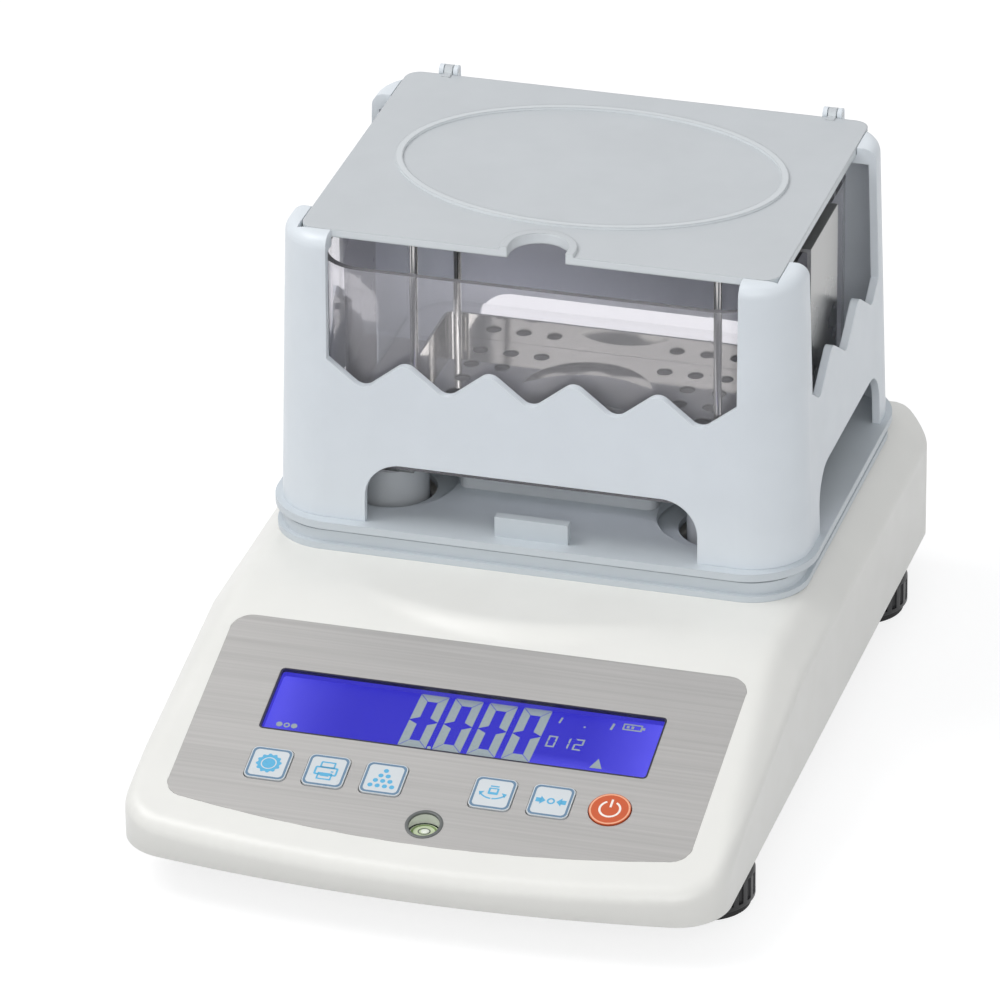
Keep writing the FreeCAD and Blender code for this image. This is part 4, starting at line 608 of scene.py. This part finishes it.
def housing():
    """The upper housing as one smooth moulding with its lip, its recess and its openings."""
    outline = housing_outline()
    insets = [0.0, 0.15, 0.5, 1.1, 1.9, 2.9, 4.0, 5.2, 6.6, 8.2, 10.0]
    on_rim = 0.01
    points = []
    edges = []
    count = len(outline)
    for inset in insets:
        start = len(points)
        for place, inward in outline:
            points.append(place + inward * inset)
        edges += [(start + i, start + (i + 1) % count) for i in range(count)]
    recess_out = in_plan(overlay_ring())
    recess_in = in_plan(overlay_ring(0.05))
    holes = panel_holes()
    posts = [disc(x, y, POST_HOLE_RADIUS, 48) for x, y in POST_PLACES]
    for ring in (recess_out, recess_in, *holes, *posts):
        start = len(points)
        points += [Vector(p) for p in ring]
        edges += [(start + i, start + (i + 1) % len(ring)) for i in range(len(ring))]
    last = [tuple(place + inward * (insets[-1] + 1.0)) for place, inward in outline]
    step = 2.0
    columns, rows = int(HALF_WIDTH / step), int(REAR / step) + 1
    near = KDTree(len(points))
    for i, p in enumerate(points):
        near.insert((p[0], p[1], 0.0), i)
    near.balance()
    for i in range(-columns, columns + 1):
        for j in range(-rows, rows + 1):
            p = (i * step, j * step)
            if within(p, last) and near.find((*p, 0.0))[2] > 0.45 * step:
                points.append(Vector(p))
    flat, _, faces, _, _, _ = delaunay_2d_cdt(points, edges, [], 0, 1e-5)
    rim = [tuple(place) for place, _ in outline]
    keep = []
    for face in faces:
        middle = sum((Vector(flat[i]) for i in face), Vector((0, 0))) / len(face)
        if any(within(middle, ring) for ring in (*holes, *posts)):
            continue
        if within(middle, rim):
            keep.append(face)
    rim_tree = KDTree(count)
    for i, (place, _) in enumerate(outline):
        rim_tree.insert((place.x, place.y, 0.0), i)
    rim_tree.balance()

    def rim_gap(x, y):
        """How far a point of the plan lies inside the outline."""
        _, i, _ = rim_tree.find((x, y, 0.0))
        place, inward = outline[i]
        return abs((Vector((x, y)) - place).dot(inward))

    mesh = bmesh.new()
    made = []
    for p in flat:
        x, y = p
        z = housing_height(x, y)
        gap = rim_gap(x, y)
        front_part = max(0.0, min(1.0, (LIP_START_Y - y) / LIP_RUN))
        lip = LIP_REAR + (LIP_FRONT - LIP_REAR) * front_part
        if gap < lip:
            z -= lip - math.sqrt(max(0.0, lip ** 2 - (lip - gap) ** 2))
        if within(p, recess_in) and gap > RECESS_CLEAR:
            z -= RECESS_DEPTH / math.cos(SLOPE)
        made.append(mesh.verts.new((x * MM, y * MM, z * MM)))
    for face in keep:
        mesh.faces.new([made[i] for i in face])
    bmesh.ops.join_triangles(mesh, faces=mesh.faces[:], cmp_seam=False, cmp_sharp=False, cmp_uvs=False,
                             cmp_vcols=False, cmp_materials=False, angle_face_threshold=math.radians(20),
                             angle_shape_threshold=math.radians(60))
    loose = [v for v in mesh.verts if not v.link_faces]
    bmesh.ops.delete(mesh, geom=loose, context="VERTS")
    side = []
    for edge in mesh.edges:
        if edge.is_boundary:
            a, b = (v.co / MM for v in edge.verts)
            if rim_gap(a.x, a.y) < on_rim and rim_gap(b.x, b.y) < on_rim:
                side.append(edge)
    grown = bmesh.ops.extrude_edge_only(mesh, edges=side)
    for vert in (v for v in grown["geom"] if isinstance(v, bmesh.types.BMVert)):
        vert.co.z = BOTTOM * MM
    item = from_bmesh("housing_shell", mesh, look["housing_white"], 40)
    thick = item.modifiers.new("wall", "SOLIDIFY")
    thick.thickness = SKIN * MM
    thick.offset = -1.0
    cutters = [port_cutter(), jack_cutter()]
    for cutter in cutters:
        cut = item.modifiers.new("opening", "BOOLEAN")
        cut.operation = "DIFFERENCE"
        cut.solver = "EXACT"
        cut.object = cutter
    apply_modifiers(item)
    for cutter in cutters:
        bpy.data.objects.remove(cutter)
    even = item.modifiers.new("even_shading", "WEIGHTED_NORMAL")
    even.weight = 60
    even.keep_sharp = True
    return item


def apply_modifiers(item):
    """Give the piece the mesh that its modifiers make."""
    shaped = item.evaluated_get(bpy.context.evaluated_depsgraph_get())
    data = bpy.data.meshes.new_from_object(shaped)
    item.modifiers.clear()
    item.data = data


def rear_cutter(name, ring):
    """A prism through the rear wall, from a closed outline across the wall."""
    low, high = (REAR - 3 * SKIN) * MM, (REAR + SKIN) * MM
    points = [(x * MM, low, z * MM) for x, z in ring] + [(x * MM, high, z * MM) for x, z in ring]
    count = len(ring)
    faces = [tuple(range(count)), tuple(range(2 * count - 1, count - 1, -1))]
    faces += [(i, i + count, (i + 1) % count + count, (i + 1) % count) for i in range(count)]
    item = mesh_object(name, points, faces, look["housing_white"])
    mesh = bmesh.new()
    mesh.from_mesh(item.data)
    bmesh.ops.recalc_face_normals(mesh, faces=mesh.faces)
    mesh.to_mesh(item.data)
    mesh.free()
    return item


def port_cutter():
    """The opening for the serial socket."""
    return rear_cutter("port_cutter", rounded(PORT_X, REAR_HOLES_Z, 10.3, 5.8, 1.0, 4))


def jack_cutter():
    """The opening for the mains adapter's inlet."""
    return rear_cutter("jack_cutter", disc(JACK_X, REAR_HOLES_Z, 5.8, 40))


shell = housing()
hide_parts("upper_housing")
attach(shell, "base")


# The display and the keys

LCD_FACE = -3.7
LENS_FACE = 0.0
SLEEVE_DEPTH = 1.5
LIFT, DIGIT_LIFT, MARK_LIFT, PANE_LIFT, BORDER_LIFT = 0.02, 0.08, 0.07, 0.14, 0.03
SLEEVE_OUT_INSET, SLEEVE_IN_INSET, SHEET_INSET = 0.55, 1.15, 1.2

DIGIT_LEFT, DIGIT_BASE, DIGIT_PITCH = -21.6, -27.0, 12.88
DIGIT_SIZE = (10.5, 26.3, 3.3)
LEAN = math.tan(math.radians(4))
POINT_X, POINT_Y, POINT_RADIUS = -9.9, -26.4, 0.75

SMALL_SIZE, SMALL_BASE = (3.4, 5.6, 0.65), -18.2
SMALL_DIGITS = ((31.0, "abcdef"), (36.0, "bc"), (41.0, "abged"))
DOT_X, OPEN_DOT_X, DOT_Y, DOT_RADIUS = (-66.7, -61.1), -63.9, -24.6, 1.2
STROKES = ((33.2, -6.0, 33.8, -3.2, 0.7), (52.4, -6.0, 53.0, -2.8, 0.9))
SPECK_X, SPECK_Y, SPECK_RADIUS = 42.8, -6.4, 0.4
BATTERY_X, BATTERY_Y, BATTERY_BARS = 60.0, -3.6, (57.8, 59.5, 63.6)
TRIANGLE = [(49.6, -25.6), (54.2, -25.6), (51.9, -20.8)]


def digit(x, y, size, lit="abcdef"):
    """One seven-segment digit from its lit segments, mitred where they meet and slanted."""
    wide, tall, stroke = size
    gap = stroke * 0.05
    half, tip = tall / 2, stroke / 2

    def upright(edge, side, way):
        """A segment along one side, above or below the middle."""
        outer = [(edge, half + way * gap), (edge, half + way * (half - gap))]
        inner_x = edge + side * stroke
        return outer + [(inner_x, half + way * (half - stroke - gap)), (inner_x, half + way * (tip + gap))]

    def level_bar(way):
        """The segment along the top or the bottom."""
        outer, inner = half + way * half, half + way * (half - stroke)
        return [(gap, outer), (wide - gap, outer), (wide - stroke - gap, inner), (stroke + gap, inner)]

    middle = [(gap, half), (stroke, half + tip - gap), (wide - stroke, half + tip - gap),
              (wide - gap, half), (wide - stroke, half - tip + gap), (stroke, half - tip + gap)]
    parts = {"a": level_bar(1), "b": upright(wide, -1, 1), "c": upright(wide, -1, -1), "d": level_bar(-1),
             "e": upright(0, 1, -1), "f": upright(0, 1, 1), "g": middle}
    return [[(x + px + py * LEAN, y + py) for px, py in parts[name]] for name in lit]


def display():
    """The lit digits and marks of the display, its window and the dark sleeve round that."""
    shapes = []
    for index in range(4):
        shapes += digit(DIGIT_LEFT + index * DIGIT_PITCH, DIGIT_BASE, DIGIT_SIZE)
    shapes.append(disc(POINT_X, POINT_Y, POINT_RADIUS, 16))
    low = LCD_FACE + LIFT
    digits = plates("display_digits", shapes, low, LCD_FACE + DIGIT_LIFT, SEGMENT)
    small = [disc(x, DOT_Y, DOT_RADIUS, 16) for x in DOT_X]
    small.append([disc(OPEN_DOT_X, DOT_Y, DOT_RADIUS, 20), disc(OPEN_DOT_X, DOT_Y, DOT_RADIUS / 2, 20)])
    for x, lit in SMALL_DIGITS:
        small += digit(x, SMALL_BASE, SMALL_SIZE, lit)
    small += [bar(*stroke) for stroke in STROKES]
    small.append(disc(SPECK_X, SPECK_Y, SPECK_RADIUS, 10))
    case, space = (3.6, 1.6, 0.3, 3), (3.0, 1.0, 0.2, 3)
    small.append([rounded(BATTERY_X, BATTERY_Y, *case), rounded(BATTERY_X, BATTERY_Y, *space)])
    small += [bar(x, BATTERY_Y, x + 1.0, BATTERY_Y, 1.2) for x in BATTERY_BARS]
    small.append(TRIANGLE)
    marks = plates("display_marks", small, low, LCD_FACE + MARK_LIFT, SEGMENT)
    window = [window_ring(SLEEVE_OUT_INSET, 1.6), window_ring(SLEEVE_IN_INSET, 1.3)]
    ledge = LENS_FACE - SLEEVE_DEPTH
    frame_line = plates("display_border", [window], ledge, LENS_FACE + BORDER_LIFT, BORDER)
    glow_wall = plates("display_wall", [window], low, ledge - LIFT, LIT_WALL)
    for item in (digits, marks, frame_line, glow_wall):
        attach(item, "base")
    sheet = window_ring(SHEET_INSET, 1.25)
    pane = plates("window_pane", [sheet], LCD_FACE + PANE_LIFT, LENS_FACE, look["clear_lens"])
    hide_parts("display_window")
    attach(pane, "base")


KEY_FACE = 0.5
PRINT = (KEY_FACE + 0.005, KEY_FACE + 0.05)
LINE_OUT, LINE_OUT_CORNER, LINE_IN, LINE_IN_CORNER = 7.25, 2.1, 6.4, 1.6
POWER_LINE_OUT, POWER_LINE_IN = 7.35, 6.75


def key_outline(x):
    """The line printed round a square key."""
    return [rounded(x, KEY_ALONG, LINE_OUT, LINE_OUT, LINE_OUT_CORNER),
            rounded(x, KEY_ALONG, LINE_IN, LINE_IN, LINE_IN_CORNER)]


# The icons, drawn in millimetres round the middle of their key

def gear(x, y):
    """A toothed wheel."""
    ring = []
    for i in range(96):
        angle = math.radians(i * 3.75)
        reach = 4.4 + 0.3 * max(-1.0, min(1.0, 3 * math.sin(12 * angle)))
        ring.append((x + reach * math.cos(angle), y + reach * math.sin(angle)))
    return [[ring, disc(x, y, 2.9, 32)], disc(x, y, 2.45, 28)]


def printer(x, y):
    """A printer with its paper above and below."""
    return [[rounded(x, y - 0.2, 4.3, 2.1, 0.7, 4), rounded(x, y - 0.2, 3.6, 1.4, 0.4, 4)],
            [rounded(x, y + 2.9, 2.8, 1.5, 0.4, 4), rounded(x, y + 2.9, 2.2, 0.9, 0.2, 4)],
            [rounded(x, y - 2.7, 2.8, 1.7, 0.3, 4), rounded(x, y - 2.7, 2.2, 1.1, 0.2, 4)],
            bar(x - 1.6, y - 2.5, x + 1.6, y - 2.5, 0.45), bar(x + 1.8, y - 0.2, x + 2.8, y - 0.2, 0.6)]


def pyramid(x, y):
    """Dots in four rows, one more in each."""
    shapes = []
    for row in range(4):
        for i in range(row + 1):
            shapes.append(disc(x + (i - row / 2) * 2.7, y + 3.8 - row * 2.5, 0.95, 14))
    return shapes


def swap(x, y):
    """A small vessel over two curved arrows."""
    return [[rounded(x, y + 1.0, 1.9, 1.6, 0.4, 3), rounded(x, y + 1.3, 1.2, 0.8, 0.2, 3)],
            bar(x - 1.6, y + 3.4, x + 1.6, y + 3.4, 0.6),
            arc_band(x, y + 3.4, 6.0, 0.6, 222, 268, 14), arc_band(x, y + 3.4, 6.0, 0.6, 272, 318, 14),
            [(x + 3.2, y + 0.6), (x + 5.2, y + 0.2), (x + 4.6, y - 1.6)],
            [(x - 3.2, y + 0.6), (x - 4.6, y - 1.6), (x - 5.2, y + 0.2)]]


def centre_mark(x, y):
    """A ring between two arrows."""
    shapes = [[disc(x, y, 1.5, 24), disc(x, y, 0.85, 24)]]
    for side in (-1, 1):
        shapes.append([(x + side * 2.0, y), (x + side * 3.9, y + 2.0), (x + side * 3.9, y - 2.0)][::side])
        shapes.append(bar(x + side * 3.7, y, x + side * 5.6, y, 2.0))
    return shapes


def key_prints():
    """The icons and lines printed on the keys."""
    icons = {"set_key": gear, "print_key": printer, "enter_key": pyramid, "mode_key": swap,
             "zero_key": centre_mark}
    for name, x in KEY_X.items():
        kind = name.split("_")[0]
        icon = plates(f"icon_{kind}", icons[name](x, KEY_ALONG), *PRINT, ICON)
        line = plates(f"outline_{kind}", [key_outline(x)], *PRINT, OUTLINE)
        for item in (icon, line):
            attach(item, name)
    x, y = POWER_X, KEY_ALONG
    strokes = [arc_band(x, y, 3.7, 0.8, 118, 422), bar(x, y + 0.9, x, y + 4.7, 0.8)]
    symbol = plates("icon_power", strokes, *PRINT, WHITE_INK)
    line = [disc(x, y, POWER_LINE_OUT, 64), disc(x, y, POWER_LINE_IN, 64)]
    rim = plates("outline_power", [line], *PRINT, RIM_INK)
    for item in (symbol, rim):
        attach(item, "power_key")


display()
key_prints()


# The level

def ring_solid(name, inner, outer, low, high, material, place, count=64, crown=0.3):
    """A ring with a rounded upper edge."""
    profile = [(inner, low), (inner, high - crown), (inner + crown * 0.3, high - crown * 0.3),
               (inner + crown, high), (outer - crown, high), (outer - crown * 0.3, high - crown * 0.3),
               (outer, high - crown), (outer, low)]
    points, faces = [], []
    for i in range(count):
        angle = 2 * math.pi * i / count
        points += [place(r * math.cos(angle), r * math.sin(angle), z) for r, z in profile]
    size = len(profile)
    for i in range(count):
        for j in range(size):
            a, b = i * size + j, i * size + (j + 1) % size
            c, e = (i + 1) % count * size + (j + 1) % size, (i + 1) % count * size + j
            faces.append((a, e, c, b))
    return mesh_object(name, points, faces, material, 40)


TRIM_INNER, TRIM_OUTER, TRIM_LOW, TRIM_HIGH = 5.6, 6.9, -0.62, 0.35
SLEEVE_INNER, SLEEVE_OUTER, SLEEVE_TOP, SLEEVE_FOOT = 5.75, 6.2, -0.5, 0.1
MARK_INNER, MARK_OUTER = 1.9, 2.3
BUBBLE_RADIUS, BUBBLE_FLATNESS = 1.6, 0.25


def level():
    """The level's trim ring, its sleeve, its mark ring, its liquid and its bubble, on the vial."""
    low, high = (Vector(corner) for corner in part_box("level_vial"))
    middle = (low + high) / 2
    radius = (high.x - low.x) / 2 / MM
    top = high.z

    def on_trim(x, y, z):
        """A point from the middle of the level's opening in the panel."""
        return on_panel(x, LEVEL_ALONG + y, z)

    def on_vial(x, y, z):
        """A point from the middle of the vial's top."""
        return Vector((middle.x + x * MM, middle.y + y * MM, top + z * MM))

    ring = ring_solid("level_ring", TRIM_INNER, TRIM_OUTER, TRIM_LOW, TRIM_HIGH, RING, on_trim)
    steps = 64
    points = []
    faces = []
    for i in range(steps):
        angle = 2 * math.pi * i / steps
        x, y = math.cos(angle), math.sin(angle)
        points += [on_trim(reach * x, reach * y, SLEEVE_TOP) for reach in (SLEEVE_INNER, SLEEVE_OUTER)]
        points += [on_vial(reach * x, reach * y, SLEEVE_FOOT) for reach in (SLEEVE_OUTER, SLEEVE_INNER)]
        a, b = 4 * i, 4 * ((i + 1) % steps)
        faces += [(a + j, b + j, b + (j + 1) % 4, a + (j + 1) % 4) for j in range(4)]
    sleeve = mesh_object("level_sleeve", points, faces, SLEEVE, 40)
    mark = ring_solid("level_mark", MARK_INNER, MARK_OUTER, 0.02, 0.1, RING, on_vial, 40, 0.03)
    liquid = ring_solid("level_liquid", radius - 1.3, radius - 0.5, 0.01, 0.08, LIQUID, on_vial, 48, 0.02)
    mesh = bmesh.new()
    bmesh.ops.create_uvsphere(mesh, u_segments=32, v_segments=16, radius=BUBBLE_RADIUS * MM)
    for vert in mesh.verts:
        vert.co.z *= BUBBLE_FLATNESS
        vert.co += on_vial(0.3, 0.2, 0.0)
    bubble = from_bmesh("level_bubble", mesh, BUBBLE, 60)
    for item in (ring, sleeve, mark, liquid, bubble):
        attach(item, "base")


level()


# The load cell

def flexing_cell():
    """The load cell's bar: a copy of the load cell's mesh in the cell's material, put in its place."""
    item = bpy.data.objects.new("load_cell_bar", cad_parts["load_cell"].data.copy())
    item.data.materials.clear()
    item.data.materials.append(look["cell_aluminium"])
    scene.collection.objects.link(item)
    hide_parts("load_cell")
    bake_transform(item)


flexing_cell()


# The room, the lights and the camera

FLOOR_HALF = 4.0
FLOOR_FOR_LIGHT = 0.62
PAPER_DARK, PAPER_LIGHT, PAPER_GLOW = 0.33, 0.36, 0.78
AMBIENT = 0.5
SKY = (0.95, 0.97, 1.0, 1)
PAPER_WHITE = (1, 1, 1, 1)
WHITE_RAYS = ("Is Camera Ray", "Is Glossy Ray", "Is Transmission Ray")


def grey(value):
    """A neutral linear colour."""
    return (value, value, value, 1)


def ground():
    """A pale floor: it bounces a plain light, looks near white and keeps the object's shadow."""
    mesh = bmesh.new()
    bmesh.ops.create_grid(mesh, x_segments=1, y_segments=1, size=FLOOR_HALF)
    n = Nodes("floor")
    path = n.add("ShaderNodeLightPath")
    first, second, third = (path.outputs[kind] for kind in WHITE_RAYS)
    seen = n.math("MAXIMUM", first, n.math("MAXIMUM", second, third))
    plain = n.add("ShaderNodeBsdfDiffuse", {"Color": grey(FLOOR_FOR_LIGHT)})
    paper = n.mix(n.span(n.noise(n.place(), 6.0), 0, 1), grey(PAPER_DARK), grey(PAPER_LIGHT))
    shaded = n.add("ShaderNodeBsdfDiffuse", {"Color": paper})
    lit = n.add("ShaderNodeEmission", {"Color": PAPER_WHITE, "Strength": PAPER_GLOW})
    both = n.add("ShaderNodeAddShader")
    n.tree.links.new(shaded.outputs[0], both.inputs[0])
    n.tree.links.new(lit.outputs[0], both.inputs[1])
    mixed = n.add("ShaderNodeMixShader", {"Fac": seen})
    n.tree.links.new(plain.outputs[0], mixed.inputs[1])
    n.tree.links.new(both.outputs[0], mixed.inputs[2])
    floor = from_bmesh("floor", mesh, n.surface(mixed))


def backdrop():
    """A soft even light from all round, which the camera, gloss and glass see as white."""
    world = bpy.data.worlds.new("studio")
    scene.world = world
    world.use_nodes = True
    tree = world.node_tree
    tree.nodes.clear()
    out = tree.nodes.new("ShaderNodeOutputWorld")
    soft = tree.nodes.new("ShaderNodeBackground")
    white = tree.nodes.new("ShaderNodeBackground")
    mix = tree.nodes.new("ShaderNodeMixShader")
    rays = tree.nodes.new("ShaderNodeLightPath")
    soft.inputs["Color"].default_value = SKY
    soft.inputs["Strength"].default_value = AMBIENT
    white.inputs["Color"].default_value = PAPER_WHITE
    white.inputs["Strength"].default_value = 1.0
    seen = rays.outputs[WHITE_RAYS[0]]
    for kind in WHITE_RAYS[1:]:
        either = tree.nodes.new("ShaderNodeMath")
        either.operation = "MAXIMUM"
        tree.links.new(seen, either.inputs[0])
        tree.links.new(rays.outputs[kind], either.inputs[1])
        seen = either.outputs[0]
    tree.links.new(seen, mix.inputs["Fac"])
    tree.links.new(soft.outputs[0], mix.inputs[1])
    tree.links.new(white.outputs[0], mix.inputs[2])
    tree.links.new(mix.outputs[0], out.inputs["Surface"])


def lamp(name, place, aim, size, power):
    """A soft rectangular lamp that faces a point."""
    data = bpy.data.lights.new(name, "AREA")
    data.shape = "RECTANGLE"
    data.size, data.size_y = size
    data.energy = power
    item = bpy.data.objects.new(name, data)
    item.location = place
    item.rotation_euler = (Vector(aim) - Vector(place)).to_track_quat("-Z", "Y").to_euler()
    scene.collection.objects.link(item)


AZIMUTH, ELEVATION, ROLL = 0.286979, 0.481651, -0.010885
SENSOR_WIDTH = 36.0
FOCAL_IN_WIDTHS = 8.2665
CAMERA_PLACE = (0.7480, -2.5760, 1.4963)


def camera():
    """The photograph's camera, by its turn, height, tilt and long lens."""
    right = Vector((math.cos(AZIMUTH), math.sin(AZIMUTH), 0))
    level_back = Vector((math.sin(AZIMUTH), -math.cos(AZIMUTH), 0))
    back = level_back * math.cos(ELEVATION) + Vector((0, 0, math.sin(ELEVATION)))
    up = back.cross(right)
    across = right * math.cos(ROLL) + up * math.sin(ROLL)
    upward = up * math.cos(ROLL) - right * math.sin(ROLL)
    data = bpy.data.cameras.new("camera")
    data.sensor_width = SENSOR_WIDTH
    data.lens = SENSOR_WIDTH * FOCAL_IN_WIDTHS
    item = bpy.data.objects.new("camera", data)
    turned = Matrix((across, upward, back)).transposed().to_4x4()
    item.matrix_world = Matrix.Translation(CAMERA_PLACE) @ turned
    scene.collection.objects.link(item)
    scene.camera = item


ground()
backdrop()
lamp("key", place=(-1.5, -0.4, 2.5), aim=(0, 0, 0.08), size=(1.6, 1.6), power=37)
lamp("front", place=(0.75, -2.4, 1.35), aim=(0, 0, 0.12), size=(1.6, 1.2), power=17)
lamp("fill", place=(2.0, -0.5, 1.4), aim=(0, 0, 0.1), size=(1.2, 1.4), power=2.5)
camera()
scene.view_settings.view_transform = "Standard"
